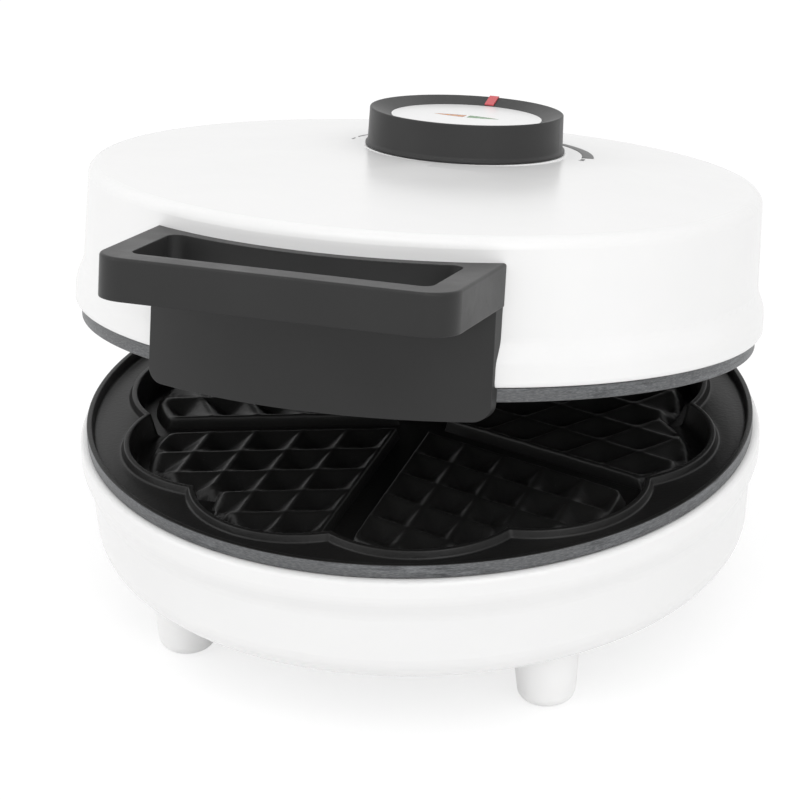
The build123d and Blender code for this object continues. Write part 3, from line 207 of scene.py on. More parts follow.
def plate_pan():
    """Plate without its ridges, closed: a profile that follows the lobed outline from the middle of
    the floor to the overflow channel, then circles over the rim, down the band and under the back."""
    angle = lobe_angles()
    lean = LOBE_LEAN + LOBE_TOP
    lobed = filleted([(14.0, FLOOR_Z), (lean + HEART_DRAFT, FLOOR_Z, 1.2), (lean, -LOBE_DROP, 0.55),
                      (LOBE_LEAN, -LOBE_DROP, 0.55), (0.0, -LAND_DROP, 0.9), (-1.6, -LAND_DROP)])
    land_r = RIM_R - RIM_W - LAND_SLOPE
    groove = [(SEAT_IN_R / 2 + SEAT_OUT_R / 2 + TUBE_GROOVE_R * math.cos(turn),
               TUBE_Z + TUBE_GROOVE_R * math.sin(turn)) for turn in np.linspace(0, math.pi, 9)]
    round_part = filleted([(99.2, -LAND_DROP), (land_r, -LAND_DROP, LAND_FOOT),
                           (RIM_R - RIM_W, 0.0, RIM_EDGE), (RIM_R, 0.0, RIM_EDGE),
                           (RIM_R, -BAND, 0.25), (COLLAR_R, -BAND, 0.2), (COLLAR_R, SNAP_Z),
                           (COLLAR_R + SNAP_OUT, SNAP_Z - SNAP_OUT, 0.2), (COLLAR_R, COLLAR_Z),
                           (WELL_R, COLLAR_Z, 0.4), (WELL_R, BACK_Z, 2.0), (SEAT_OUT_R, BACK_Z, 0.4),
                           (SEAT_OUT_R, TUBE_Z, 0.3)] + groove
                          + [(SEAT_IN_R, TUBE_Z, 0.3), (SEAT_IN_R, BACK_Z, 0.4), (12.0, BACK_Z)], 4)
    hub = lobe_radius(angle, 14.0)
    rows_r = [share * hub for share in (0.12, 0.4, 0.7)]
    rows_z = [FLOOR_Z] * len(rows_r)
    for inset, height in lobed:
        rows_r.append(lobe_radius(angle, inset))
        rows_z.append(height)
    for radius, height in round_part:
        rows_r.append(np.full(len(angle), radius))
        rows_z.append(height)
    radius = np.array(rows_r)
    height = np.array(rows_z)[:, None] * np.ones(len(angle))
    points = np.stack([radius * np.cos(angle), radius * np.sin(angle), height], axis=-1)
    rows, columns = radius.shape
    quads = tube_faces(rows, columns)[:, ::-1]
    poles = np.array([[0, 0, FLOOR_Z], [0, 0, BACK_Z]])
    ring = np.arange(columns)
    after = (ring + 1) % columns
    top = rows * columns
    first = np.stack([np.full(columns, top), ring, after], axis=-1)
    end = (rows - 1) * columns
    last = np.stack([np.full(columns, top + 1), end + after, end + ring], axis=-1)
    along = np.concatenate([[0], np.cumsum(np.hypot(np.diff(radius[:, 0]), np.diff(height[:, 0])))])
    u = np.arange(columns + 1) * (2 * math.pi * RIM_R * MM / columns)
    row, column = np.meshgrid(np.arange(rows - 1), np.arange(columns), indexing="ij")
    row = row.ravel()
    column = column.ravel()
    v = along * MM
    uv = np.stack([np.stack([u[column], v[row + 1]], -1), np.stack([u[column + 1], v[row + 1]], -1),
                   np.stack([u[column + 1], v[row]], -1), np.stack([u[column], v[row]], -1)], 1)
    bare = (radius > RIM_R - 0.12) & (height < -RIM_EDGE * 0.6) & (height > -BAND - 0.1)
    marks = np.concatenate([bare.ravel().astype(float), [0.0, 0.0]])
    points = np.concatenate([points.reshape(-1, 3), poles])
    return points, quads, np.concatenate([first, last]), uv.reshape(-1, 2), marks


def ridge_profile():
    """Height of one family of ridges over the distance from its heart's straight side: a steep
    first wall, then flat tops RIDGE_PITCH apart with valleys between, all with rounded corners."""
    first = (CHANNEL + RIDGE_TOP) / 2
    corners = [(first - RIDGE_TOP / 2 - 0.9, -SUNK), (first - RIDGE_TOP / 2 + 0.1, RIDGE_H, 0.45)]
    for ridge in range(8):
        middle = first + ridge * RIDGE_PITCH
        corners.append((middle + RIDGE_TOP / 2, RIDGE_H, 1.5))
        corners.append((middle + RIDGE_PITCH / 2, PIT_RISE, 1.6))
        corners.append((middle + RIDGE_PITCH - RIDGE_TOP / 2, RIDGE_H, 1.5))
    corners.append((first + 8 * RIDGE_PITCH, RIDGE_H))
    return filleted(corners, 6)


def ridge_samples():
    """Distances from a heart's straight side at which the ridges are sampled, close at each bend."""
    first = (CHANNEL + RIDGE_TOP) / 2
    start = np.array([-1.5, -1.2, -0.9, -0.65, -0.5, -0.3]) + first
    turns = np.array([0.0, 0.42, 0.85, 1.6, 3.4, 5.2, 6.4, 6.85, 7.3, 8.5, 10.3, 12.1, 12.85, 13.28])
    cycles = [first + turns + RIDGE_PITCH * ridge for ridge in range(6)]
    return np.concatenate([start] + cycles)


def soft_least(a, b, blend):
    """The lesser of two heights, with the bend between them rounded over blend."""
    gap = a - b
    return (a + b - np.sqrt(gap**2 + blend**2)) / 2


def ridge_fields():
    """The five hearts' ridges as closed bodies that stand in the plate's floor."""
    samples = ridge_samples()
    count = len(samples)
    profile = ridge_profile()
    p, q = np.meshgrid(samples, samples, indexing="ij")
    half = math.pi / HEARTS
    x = (p + q) / (2 * math.sin(half))
    y = (q - p) / (2 * math.cos(half))
    along_p = np.interp(p, profile[:, 0], profile[:, 1])
    along_q = np.interp(q, profile[:, 0], profile[:, 1])
    height = (along_p + along_q + np.sqrt((along_p - along_q)**2 + 0.2)) / 2
    wall = (np.minimum(p, q) - (CHANNEL / 2 - 0.45)) * 6.0
    points = []
    quads = []
    for heart in range(HEARTS):
        turn = half - math.pi / 2 + 2 * half * heart
        world_x = x * math.cos(turn) - y * math.sin(turn)
        world_y = x * math.sin(turn) + y * math.cos(turn)
        ramp = (depth_inside(world_x, world_y) - (MARGIN - 1.4)) * 1.7
        top = soft_least(soft_least(height, ramp, 0.8), wall, 0.5)
        top = np.maximum(top, -SUNK)
        shown = top > -SUNK + 0.02
        keep = shown[:-1, :-1] | shown[1:, :-1] | shown[:-1, 1:] | shown[1:, 1:]
        low = np.full_like(top, -ROOT)
        upper = np.stack([world_x, world_y, FLOOR_Z + top], axis=-1).reshape(-1, 3)
        lower = np.stack([world_x, world_y, FLOOR_Z + low], axis=-1).reshape(-1, 3)
        index = np.arange(count * count).reshape(count, count)
        a = index[:-1, :-1][keep]
        b = index[1:, :-1][keep]
        c = index[1:, 1:][keep]
        d = index[:-1, 1:][keep]
        under = count * count
        faces = [np.stack([a, b, c, d], -1), np.stack([d, c, b, a], -1) + under]
        ring = np.pad(keep, 1)
        for step, start, end in (((-1, 0), (0, 1), (0, 0)), ((1, 0), (1, 0), (1, 1)),
                                 ((0, -1), (0, 0), (1, 0)), ((0, 1), (1, 1), (0, 1))):
            beside = ring[1 + step[0]:count + step[0], 1 + step[1]:count + step[1]]
            row, column = np.nonzero(keep & ~beside)
            from_top = index[row + start[0], column + start[1]]
            to_top = index[row + end[0], column + end[1]]
            faces.append(np.stack([from_top, from_top + under, to_top + under, to_top], -1))
        body = np.concatenate([upper, lower])
        joined = np.concatenate(faces)
        used, place = np.unique(joined, return_inverse=True)
        quads.append(place.reshape(joined.shape) + sum(len(part) for part in points))
        points.append(body[used])
    return np.concatenate(points), np.concatenate(quads)


def lid_turn():
    """Turn about the hinge that takes the shut lid to its place at rest."""
    hinge = Matrix.Translation(Vector((0, HINGE_Y, HINGE_Z)))
    return hinge @ Matrix.Rotation(-LID_REST, 4, "X") @ hinge.inverted()


def moved(points, matrix):
    """Points after a 4 by 4 matrix."""
    array = np.array(matrix)
    return points @ array[:3, :3].T + array[:3, 3]


def plates():
    """The two cast plates: the same casting, the upper one turned over in the open lid."""
    pan, pan_quads, pan_poles, uv, marks = plate_pan()
    ridges, ridge_quads = ridge_fields()
    points = np.concatenate([pan, ridges])
    quads = np.concatenate([pan_quads, ridge_quads + len(pan)])
    marks = np.concatenate([marks, np.zeros(len(ridges))])
    made = []
    for name, node, body, rim_z in (("lower_casting", "lower_plate", "base", LOWER_RIM_Z),
                                    ("upper_casting", "upper_plate", "lid", UPPER_RIM_Z)):
        over = name == "upper_casting"
        place = points * np.array([1, 1, -1 if over else 1]) + np.array([0, 0, rim_z])
        if over:
            place = moved(place, lid_turn())
        order = slice(None, None, -1) if over else slice(None)
        part_uv = uv.reshape(-1, 4, 2)[:, order].reshape(-1, 2)
        piece = mesh_piece(name, place, quads[:, order], pan_poles[:, order], part_uv, marks)
        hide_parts(node)
        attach(piece, body)
        made.append(piece)
    return made


def roof_height(x, y):
    """Height of the shut lid's domed roof."""
    return ROOF_TOP_Z - ROOF_DOME_R + np.sqrt(ROOF_DOME_R**2 - x**2 - y**2)


def heat_scale():
    """Printed wedge round the knob: an arc that widens from its left end to its right end, whose
    right end is cut at a slant, laid on the roof as a closed film of ink."""
    share = np.linspace(0.0, 1.0, 121)
    wide = SCALE_THICK[1] + (SCALE_THICK[0] - SCALE_THICK[1]) * (1 - share)**SCALE_SWELL
    across = np.linspace(0.0, 1.0, 5)
    start = SCALE_FROM[1] + (SCALE_FROM[0] - SCALE_FROM[1]) * across
    turn = np.radians(start + (SCALE_TO - start) * share[:, None])
    radius = SCALE_IN_R + wide[:, None] * across
    x = radius * np.cos(turn)
    y = KNOB_Y + radius * np.sin(turn)
    z = roof_height(x, y)
    top = np.stack([x, y, z + INK], -1).reshape(-1, 3)
    low = np.stack([x, y, z - INK], -1).reshape(-1, 3)
    rows, columns = x.shape
    index = np.arange(rows * columns).reshape(rows, columns)
    a, b, c, d = index[:-1, :-1], index[:-1, 1:], index[1:, 1:], index[1:, :-1]
    sheet = np.stack([a.ravel(), b.ravel(), c.ravel(), d.ravel()], -1)
    under = rows * columns
    loop = np.concatenate([index[0, :-1], index[:-1, -1], index[-1, :0:-1], index[:0:-1, 0]])
    after = np.roll(loop, -1)
    rim = np.stack([loop, loop + under, after + under, after], -1)
    quads = np.concatenate([sheet, sheet[:, ::-1] + under, rim])
    points = moved(np.concatenate([top, low]), lid_turn())
    piece = mesh_piece("heat_scale_print", points, quads)
    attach(piece, "lid")
    return piece


def scale_numeral(name, text, x, y):
    """Plain printed numeral at one end of the wedge, as a closed film of ink on the roof."""
    letters = bpy.data.curves.new(name, "FONT")
    letters.body = text
    letters.size = NUMERAL_SIZE
    letters.extrude = INK
    letters.align_x = "CENTER"
    letters.align_y = "CENTER"
    writer = bpy.data.objects.new(name, letters)
    mesh = bpy.data.meshes.new_from_object(writer)
    bpy.data.objects.remove(writer)
    laid = Matrix.Translation(Vector((x, y, float(roof_height(x, y)))))
    mesh.transform(Matrix.Scale(MM, 4) @ lid_turn() @ laid)
    welded = bmesh.new()
    welded.from_mesh(mesh)
    bmesh.ops.remove_doubles(welded, verts=welded.verts, dist=0.0000005)
    bmesh.ops.recalc_face_normals(welded, faces=welded.faces)
    welded.to_mesh(mesh)
    welded.free()
    piece = bpy.data.objects.new(name, mesh)
    bpy.context.scene.collection.objects.link(piece)
    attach(piece, "lid")
    return piece


# Shader helpers
def add(tree, kind, sockets=None, **settings):
    """Node of a kind, with its settings, and its inputs given as values or as sockets to link."""
    made = tree.nodes.new(kind)
    for key, value in settings.items():
        setattr(made, key, value)
    for key, value in (sockets or {}).items():
        if isinstance(value, bpy.types.NodeSocket):
            tree.links.new(value, made.inputs[key])
        else:
            made.inputs[key].default_value = value
    return made


def calc(tree, operation, first, second=0.0, third=0.0):
    """Result of one Math node."""
    return add(tree, "ShaderNodeMath", {0: first, 1: second, 2: third}, operation=operation).outputs[0]


def span(tree, value, from_low, from_high, to_low=0.0, to_high=1.0):
    """Value carried evenly from one range to another and held there."""
    made = add(tree, "ShaderNodeMapRange", {"Value": value, "From Min": from_low, "From Max": from_high,
                                            "To Min": to_low, "To Max": to_high})
    return made.outputs["Result"]


def blend(tree, share, first, second):
    """Colour between two colours."""
    made = add(tree, "ShaderNodeMix", {"Factor": share}, data_type="RGBA")
    for slot, value in ((6, first), (7, second)):
        if isinstance(value, bpy.types.NodeSocket):
            tree.links.new(value, made.inputs[slot])
        else:
            made.inputs[slot].default_value = value
    return made.outputs[2]


def effect(name, inputs, outputs):
    """Empty node group with named number inputs and its outputs as (name, type)."""
    group = bpy.data.node_groups.new(name, "ShaderNodeTree")
    for label, kind, value in inputs:
        made = group.interface.new_socket(label, in_out="INPUT", socket_type=kind)
        if value is not None:
            made.default_value = value
    for label, kind in outputs:
        group.interface.new_socket(label, in_out="OUTPUT", socket_type=kind)
    return group, add(group, "NodeGroupInput").outputs, add(group, "NodeGroupOutput").inputs


FLOAT = "NodeSocketFloat"
COLOUR = "NodeSocketColor"
VECTOR = "NodeSocketVector"


def moulded_grain():
    """Spark-eroded or polished mould texture: fine cells broken up by noise, and a slow mottle."""
    group, given, out = effect("moulded grain", [("Grain size", FLOAT, 0.0004), ("Cells", FLOAT, 0.5)],
                               [("Height", FLOAT), ("Mottle", FLOAT)])
    place = add(group, "ShaderNodeTexCoord").outputs["Object"]
    scale = calc(group, "DIVIDE", 1.0, given["Grain size"])
    noise = add(group, "ShaderNodeTexNoise", {"Vector": place, "Scale": scale, "Detail": 2.0})
    cells = add(group, "ShaderNodeTexVoronoi", {"Vector": place, "Scale": scale, "Smoothness": 0.6},
                feature="SMOOTH_F1")
    part = calc(group, "MULTIPLY", cells.outputs["Distance"], given["Cells"])
    group.links.new(calc(group, "ADD", noise.outputs["Fac"], part), out["Height"])
    slow = add(group, "ShaderNodeTexNoise", {"Vector": place, "Scale": 38.0, "Detail": 4.0})
    group.links.new(slow.outputs["Fac"], out["Mottle"])
    return group


def handled_surface():
    """What use leaves behind: smudges from fingers and a little dust on what faces up."""
    group, given, out = effect("handled surface", [("Smudge size", FLOAT, 0.02)],
                               [("Smudge", FLOAT), ("Dust", FLOAT), ("Scuff", FLOAT)])
    coordinates = add(group, "ShaderNodeTexCoord")
    place = coordinates.outputs["Object"]
    scale = calc(group, "DIVIDE", 1.0, given["Smudge size"])
    smudge = add(group, "ShaderNodeTexNoise", {"Vector": place, "Scale": scale, "Detail": 5.0,
                                               "Roughness": 0.62, "Distortion": 0.6})
    group.links.new(span(group, smudge.outputs["Fac"], 0.42, 0.66), out["Smudge"])
    up = add(group, "ShaderNodeSeparateXYZ", {"Vector": coordinates.outputs["Normal"]}).outputs["Z"]
    facing = span(group, up, 0.35, 1.0)
    specks = add(group, "ShaderNodeTexNoise", {"Vector": place, "Scale": 900.0, "Detail": 3.0})
    fine = span(group, specks.outputs["Fac"], 0.56, 0.72)
    group.links.new(calc(group, "MULTIPLY", fine, facing), out["Dust"])
    stretched = add(group, "ShaderNodeMapping", {"Vector": place, "Rotation": (0.3, 0.5, 0.9),
                                                 "Scale": (30.0, 900.0, 900.0)})
    lines = add(group, "ShaderNodeTexNoise", {"Vector": stretched.outputs[0], "Scale": 1.0,
                                              "Detail": 1.0})
    group.links.new(span(group, lines.outputs["Fac"], 0.69, 0.74), out["Scuff"])
    return group


def broken_corner():
    """Small radius that every moulded or cast edge has, and a mask of where such an edge is."""
    group, given, out = effect("broken corner", [("Radius", FLOAT, 0.0004)],
                               [("Normal", VECTOR), ("Edge", FLOAT)])
    bevel = add(group, "ShaderNodeBevel", {"Radius": given["Radius"]}, samples=4)
    flat = add(group, "ShaderNodeNewGeometry").outputs["Normal"]
    along = add(group, "ShaderNodeVectorMath", {0: bevel.outputs[0], 1: flat}, operation="DOT_PRODUCT")
    group.links.new(bevel.outputs[0], out["Normal"])
    group.links.new(span(group, along.outputs["Value"], 0.995, 0.86), out["Edge"])
    return group


def cast_skin():
    """Orange-peel skin of a sprayed casting: soft dimples, fine specks and slow patches."""
    group, given, out = effect("cast skin", [("Dimple size", FLOAT, 0.0011)],
                               [("Height", FLOAT), ("Specks", FLOAT), ("Patches", FLOAT)])
    place = add(group, "ShaderNodeTexCoord").outputs["Object"]
    scale = calc(group, "DIVIDE", 1.0, given["Dimple size"])
    peel = add(group, "ShaderNodeTexNoise", {"Vector": place, "Scale": scale, "Detail": 3.0,
                                             "Roughness": 0.45})
    group.links.new(peel.outputs["Fac"], out["Height"])
    cells = add(group, "ShaderNodeTexVoronoi", {"Vector": place, "Scale": 1700.0})
    chance = add(group, "ShaderNodeSeparateColor", {"Color": cells.outputs["Color"]}).outputs[0]
    near = span(group, cells.outputs["Distance"], 0.22, 0.1)
    group.links.new(calc(group, "MULTIPLY", near, span(group, chance, 0.86, 0.9)), out["Specks"])
    patches = add(group, "ShaderNodeTexNoise", {"Vector": place, "Scale": 24.0, "Detail": 4.0})
    group.links.new(patches.outputs["Fac"], out["Patches"])
    return group


def drawn_streaks():
    """Streaks along one direction of the given coordinates, as turning, drawing or rolling leaves."""
    group, given, out = effect("drawn streaks", [("Vector", VECTOR, None), ("Along", FLOAT, 60.0),
                                                 ("Across", FLOAT, 2600.0)],
                               [("Streaks", FLOAT), ("Broad", FLOAT)])
    stretch = add(group, "ShaderNodeCombineXYZ", {"X": given["Along"], "Y": given["Across"],
                                                  "Z": given["Across"]})
    place = add(group, "ShaderNodeVectorMath", {0: given["Vector"], 1: stretch.outputs[0]},
                operation="MULTIPLY")
    fine = add(group, "ShaderNodeTexNoise", {"Vector": place.outputs[0], "Scale": 1.0, "Detail": 3.0,
                                             "Roughness": 0.6})
    group.links.new(fine.outputs["Fac"], out["Streaks"])
    wide = add(group, "ShaderNodeTexNoise", {"Vector": place.outputs[0], "Scale": 0.22, "Detail": 3.0,
                                             "Distortion": 0.5})
    group.links.new(wide.outputs["Fac"], out["Broad"])
    return group


GRAIN = moulded_grain()
HANDLED = handled_surface()
CORNER = broken_corner()
SKIN = cast_skin()
STREAKS = drawn_streaks()


def use(tree, group, **values):
    """Places an effect in a material, with its own values."""
    made = add(tree, "ShaderNodeGroup", node_tree=group)
    for key, value in values.items():
        socket = made.inputs[key.replace("_", " ")]
        if isinstance(value, bpy.types.NodeSocket):
            tree.links.new(value, socket)
        else:
            socket.default_value = value
    return made.outputs


def material(name):
    """Empty material, its tree and its Principled shader."""
    made = bpy.data.materials.new(name)
    made.use_nodes = True
    tree = made.node_tree
    tree.nodes.clear()
    shader = add(tree, "ShaderNodeBsdfPrincipled")
    add(tree, "ShaderNodeOutputMaterial", {"Surface": shader.outputs[0]})
    return made, tree, shader


def grey(value, warm=0.0):
    """Grey with a little warmth."""
    return (value * (1 + warm), value, value * (1 - warm), 1.0)


def moulded(name, colour, deep, rough, grain, depth, corner, specular, shine=0.0, dusty=0.25):
    """Moulded plastic: colour runs slowly toward deep, edges carry a painted highlight in their colour
    and are a little glossier, dust lies on top.
    """
    made, tree, shader = material(name)
    skin = use(tree, GRAIN, Grain_size=grain)
    worn = use(tree, HANDLED)
    edge = use(tree, CORNER, Radius=corner)
    slow = blend(tree, span(tree, skin["Mottle"], 0.3, 0.7), colour, deep)
    # painted highlight: along the edge mask the colour is drawn lighter, as if the edges caught the
    # light
    bright = tuple(min(1.0, part * 1.25 + 0.004) for part in colour[:3]) + (1.0,)
    lit = blend(tree, calc(tree, "MULTIPLY", edge["Edge"], 0.55), slow, bright)
    dust = calc(tree, "MULTIPLY", worn["Dust"], dusty)
    lit = blend(tree, dust, lit, grey(0.42, 0.03))
    tree.links.new(lit, shader.inputs["Base Color"])
    base = calc(tree, "MULTIPLY_ADD", worn["Smudge"], -0.06, rough)
    base = calc(tree, "MULTIPLY_ADD", skin["Mottle"], 0.05, base)
    base = calc(tree, "MULTIPLY_ADD", worn["Scuff"], 0.05, base)
    base = calc(tree, "MULTIPLY_ADD", edge["Edge"], -0.08, base)
    tree.links.new(base, shader.inputs["Roughness"])
    bump = add(tree, "ShaderNodeBump", {"Height": skin["Height"], "Distance": depth, "Strength": 1.0,
                                        "Normal": edge["Normal"]})
    tree.links.new(bump.outputs[0], shader.inputs["Normal"])
    shader.inputs["Specular IOR Level"].default_value = specular
    shader.inputs["Coat Weight"].default_value = shine
    shader.inputs["Coat Roughness"].default_value = 0.16
    return made


def polished_white(name, colour, rough, peel=0.0000006):
    """Glossy white moulding: a hair of flow marks in tone, a soft peel left by the mould,
    and faint handling that shows in the gloss only."""
    made, tree, shader = material(name)
    skin = use(tree, GRAIN, Grain_size=0.0021, Cells=0.0)
    worn = use(tree, HANDLED, Smudge_size=0.035)
    flow = span(tree, skin["Mottle"], 0.3, 0.7)
    deep = tuple(part * 0.985 for part in colour[:3]) + (1.0,)
    tree.links.new(blend(tree, flow, colour, deep), shader.inputs["Base Color"])
    base = calc(tree, "MULTIPLY_ADD", worn["Smudge"], 0.02, rough)
    tree.links.new(base, shader.inputs["Roughness"])
    bump = add(tree, "ShaderNodeBump", {"Height": skin["Height"], "Distance": peel, "Strength": 1.0})
    tree.links.new(bump.outputs[0], shader.inputs["Normal"])
    shader.inputs["Specular IOR Level"].default_value = 0.5
    return made


def coated_casting():
    """Sprayed non-stick coating on the faces, and the casting's grey turned band on its rim."""
    made, tree, shader = material("coated casting")
    skin = use(tree, SKIN)
    place = add(tree, "ShaderNodeUVMap", uv_map="surface").outputs[0]
    turned = use(tree, STREAKS, Vector=place, Along=110.0, Across=900.0)
    bare = add(tree, "ShaderNodeAttribute", attribute_name="bare").outputs["Fac"]
    bare = span(tree, bare, 0.35, 0.65)
    coat = blend(tree, span(tree, skin["Patches"], 0.3, 0.7), grey(0.011), grey(0.016, 0.02))
    coat = blend(tree, calc(tree, "MULTIPLY", skin["Specks"], 0.35), coat, grey(0.12))
    metal = blend(tree, span(tree, turned["Streaks"], 0.3, 0.7), (0.060, 0.062, 0.065, 1),
                  (0.215, 0.222, 0.230, 1))
    metal = blend(tree, span(tree, turned["Broad"], 0.42, 0.62), metal, (0.135, 0.138, 0.142, 1))
    nicks = use(tree, STREAKS, Vector=place, Along=700.0, Across=3200.0)
    metal = blend(tree, calc(tree, "MULTIPLY", span(tree, nicks["Streaks"], 0.5, 0.62), 0.35), metal,
                  grey(0.045))
    metal = blend(tree, calc(tree, "MULTIPLY", span(tree, nicks["Streaks"], 0.46, 0.36), 0.25), metal,
                  grey(0.34))
    tree.links.new(blend(tree, bare, coat, metal), shader.inputs["Base Color"])
    tree.links.new(calc(tree, "MULTIPLY", bare, 0.55), shader.inputs["Metallic"])
    rough = calc(tree, "MULTIPLY_ADD", skin["Patches"], 0.12, 0.29)
    metal_rough = calc(tree, "MULTIPLY_ADD", turned["Streaks"], 0.2, 0.32)
    mixed = add(tree, "ShaderNodeMix", {"Factor": bare, 2: rough, 3: metal_rough}, data_type="FLOAT")
    tree.links.new(mixed.outputs[0], shader.inputs["Roughness"])
    height = calc(tree, "MULTIPLY_ADD", turned["Streaks"], bare, skin["Height"])
    bump = add(tree, "ShaderNodeBump", {"Height": height, "Distance": 0.00006, "Strength": 1.0})
    tree.links.new(bump.outputs[0], shader.inputs["Normal"])
    shader.inputs["Specular IOR Level"].default_value = 0.28
    return made


def metal_finish(name, colour, dark, rough, metallic, streak=1500.0, along=40.0, grain=0.00003,
                 corner=0.0002):
    """Drawn, rolled or plated metal: streaks vary its colour, roughness and surface."""
    made, tree, shader = material(name)
    place = add(tree, "ShaderNodeTexCoord").outputs["Object"]
    lines = use(tree, STREAKS, Vector=place, Along=along, Across=streak)
    edge = use(tree, CORNER, Radius=corner)
    worn = use(tree, HANDLED, Smudge_size=0.012)
    tone = blend(tree, span(tree, lines["Streaks"], 0.3, 0.7), dark, colour)
    tone = blend(tree, calc(tree, "MULTIPLY", span(tree, lines["Broad"], 0.45, 0.65), 0.4), tone, dark)
    tree.links.new(tone, shader.inputs["Base Color"])
    base = calc(tree, "MULTIPLY_ADD", lines["Streaks"], 0.16, rough - 0.08)
    base = calc(tree, "MULTIPLY_ADD", worn["Smudge"], 0.1, base)
    tree.links.new(base, shader.inputs["Roughness"])
    bump = add(tree, "ShaderNodeBump", {"Height": lines["Streaks"], "Distance": grain, "Strength": 1.0,
                                        "Normal": edge["Normal"]})
    tree.links.new(bump.outputs[0], shader.inputs["Normal"])
    shader.inputs["Metallic"].default_value = metallic
    return made


def tinted_lens(name, colour, deep):
    """Tinted clear plastic with fine ribs, over a light that is off."""
    made, tree, shader = material(name)
    skin = use(tree, GRAIN, Grain_size=0.0006)
    edge = use(tree, CORNER, Radius=0.0002)
    place = add(tree, "ShaderNodeTexCoord").outputs["Object"]
    ribs = add(tree, "ShaderNodeTexWave", {"Vector": place, "Scale": 160.0, "Distortion": 0.4},
               bands_direction="X")
    tone = blend(tree, ribs.outputs["Fac"], colour, deep)
    tree.links.new(tone, shader.inputs["Base Color"])
    tree.links.new(calc(tree, "MULTIPLY_ADD", skin["Mottle"], 0.1, 0.12), shader.inputs["Roughness"])
    bump = add(tree, "ShaderNodeBump", {"Height": ribs.outputs["Fac"], "Distance": 0.00005,
                                        "Strength": 1.0, "Normal": edge["Normal"]})
    tree.links.new(bump.outputs[0], shader.inputs["Normal"])
    shader.inputs["Specular IOR Level"].default_value = 0.2
    return made


def lamp_glass():
    """Clear glass envelope of a glow lamp, faintly amber, with a few seeds in the glass."""
    made, tree, shader = material("lamp glass")
    skin = use(tree, GRAIN, Grain_size=0.0009)
    tone = blend(tree, skin["Mottle"], (0.98, 0.9, 0.78, 1), (0.95, 0.82, 0.62, 1))
    tree.links.new(tone, shader.inputs["Base Color"])
    tree.links.new(calc(tree, "MULTIPLY", skin["Mottle"], 0.12), shader.inputs["Roughness"])
    bump = add(tree, "ShaderNodeBump", {"Height": skin["Height"], "Distance": 0.00003, "Strength": 1.0})
    tree.links.new(bump.outputs[0], shader.inputs["Normal"])
    shader.inputs["Transmission Weight"].default_value = 0.9
    shader.inputs["IOR"].default_value = 1.47
    return made


def screen_ink():
    """Dark grey screen print: slightly uneven ink with a soft sheen."""
    made, tree, shader = material("screen ink")
    skin = use(tree, GRAIN, Grain_size=0.00025)
    tone = blend(tree, skin["Mottle"], grey(0.075), grey(0.105))
    tree.links.new(tone, shader.inputs["Base Color"])
    tree.links.new(calc(tree, "MULTIPLY_ADD", skin["Mottle"], 0.15, 0.35), shader.inputs["Roughness"])
    bump = add(tree, "ShaderNodeBump", {"Height": skin["Height"], "Distance": 0.00001, "Strength": 1.0})
    tree.links.new(bump.outputs[0], shader.inputs["Normal"])
    return made


def finishes():
    """Material of each of the record's slots."""
    return {
        "white_plastic": polished_white("white housing", grey(0.88, 0.002), 0.24),
        # painted light: the feet are the housing's white plastic drawn lighter, to offset the shade they
        # get low by the floor
        "foot_plastic": polished_white("white foot painted lighter against shade", grey(0.94, 0.003), 0.32),
        "cover_plastic": moulded("matt cover", grey(0.76, 0.006), grey(0.73, 0.01), 0.5, 0.0004,
                                 0.000012, 0.0003, 0.45, dusty=0.1),
        "dark_plastic": moulded("charcoal handle", grey(0.0270), grey(0.0245), 0.40, 0.00042,
                                0.000016, 0.0005, 0.24, dusty=0.03),
        "knob_plastic": moulded("charcoal knob", grey(0.038), grey(0.034), 0.4, 0.00035, 0.00001,
                                0.0004, 0.2, dusty=0.03),
        "dial_plastic": polished_white("white dial", grey(0.88), 0.2, 0.0000004),
        "gland_rubber": moulded("grey rubber", grey(0.56), grey(0.5), 0.6, 0.0005, 0.00002, 0.0003, 0.3),
        "terminal_ceramic": moulded("unglazed ceramic", (0.74, 0.7, 0.62, 1), (0.68, 0.64, 0.56, 1),
                                    0.72, 0.0003, 0.00004, 0.0003, 0.35),
        "thermostat_body": moulded("steatite", (0.7, 0.67, 0.58, 1), (0.63, 0.6, 0.51, 1), 0.6,
                                   0.0003, 0.00003, 0.0003, 0.35),
        "holder_plastic": moulded("natural resin", (0.66, 0.62, 0.52, 1), (0.6, 0.56, 0.46, 1), 0.5,
                                  0.0004, 0.00002, 0.0003, 0.4),
        "pointer_paint": moulded("red marker", (0.66, 0.10, 0.115, 1), (0.56, 0.07, 0.085, 1), 0.3,
                                 0.0004, 0.000008, 0.0002, 0.5, dusty=0.03),
        "coated_casting": coated_casting(),
        "element_sheath": metal_finish("heat-tinted sheath", (0.36, 0.31, 0.26, 1),
                                       (0.2, 0.15, 0.13, 1), 0.42, 0.9),
        "pin_steel": metal_finish("bright pin", grey(0.62), grey(0.5), 0.25, 1.0),
        "sheet_steel": metal_finish("zinc-plated sheet", (0.58, 0.6, 0.6, 1), (0.44, 0.46, 0.46, 1),
                                    0.34, 1.0),
        "reflector_sheet": metal_finish("rolled aluminium", grey(0.72), grey(0.6), 0.3, 1.0, 1800.0),
        "fuse_case": metal_finish("plated cartridge", (0.64, 0.6, 0.5, 1), (0.5, 0.46, 0.38, 1), 0.28,
                                  1.0),
        "screw_steel": metal_finish("zinc-plated screw", (0.6, 0.6, 0.62, 1), (0.46, 0.46, 0.48, 1),
                                    0.3, 1.0, 2400.0),
        "orange_lens": tinted_lens("orange lens", (0.56, 0.20, 0.02, 1), (0.42, 0.13, 0.012, 1)),
        "green_lens": tinted_lens("green lens", (0.045, 0.24, 0.035, 1), (0.028, 0.16, 0.024, 1)),
        "lamp_glass": lamp_glass(),
    }


def dress(made):
    """Gives every carried-over node the finish of its slot."""
    for node in nodes.values():
        for slot in node.material_slots:
            name = slot.material.name.split(".")[0]
            if name in made:
                slot.material = made[name]


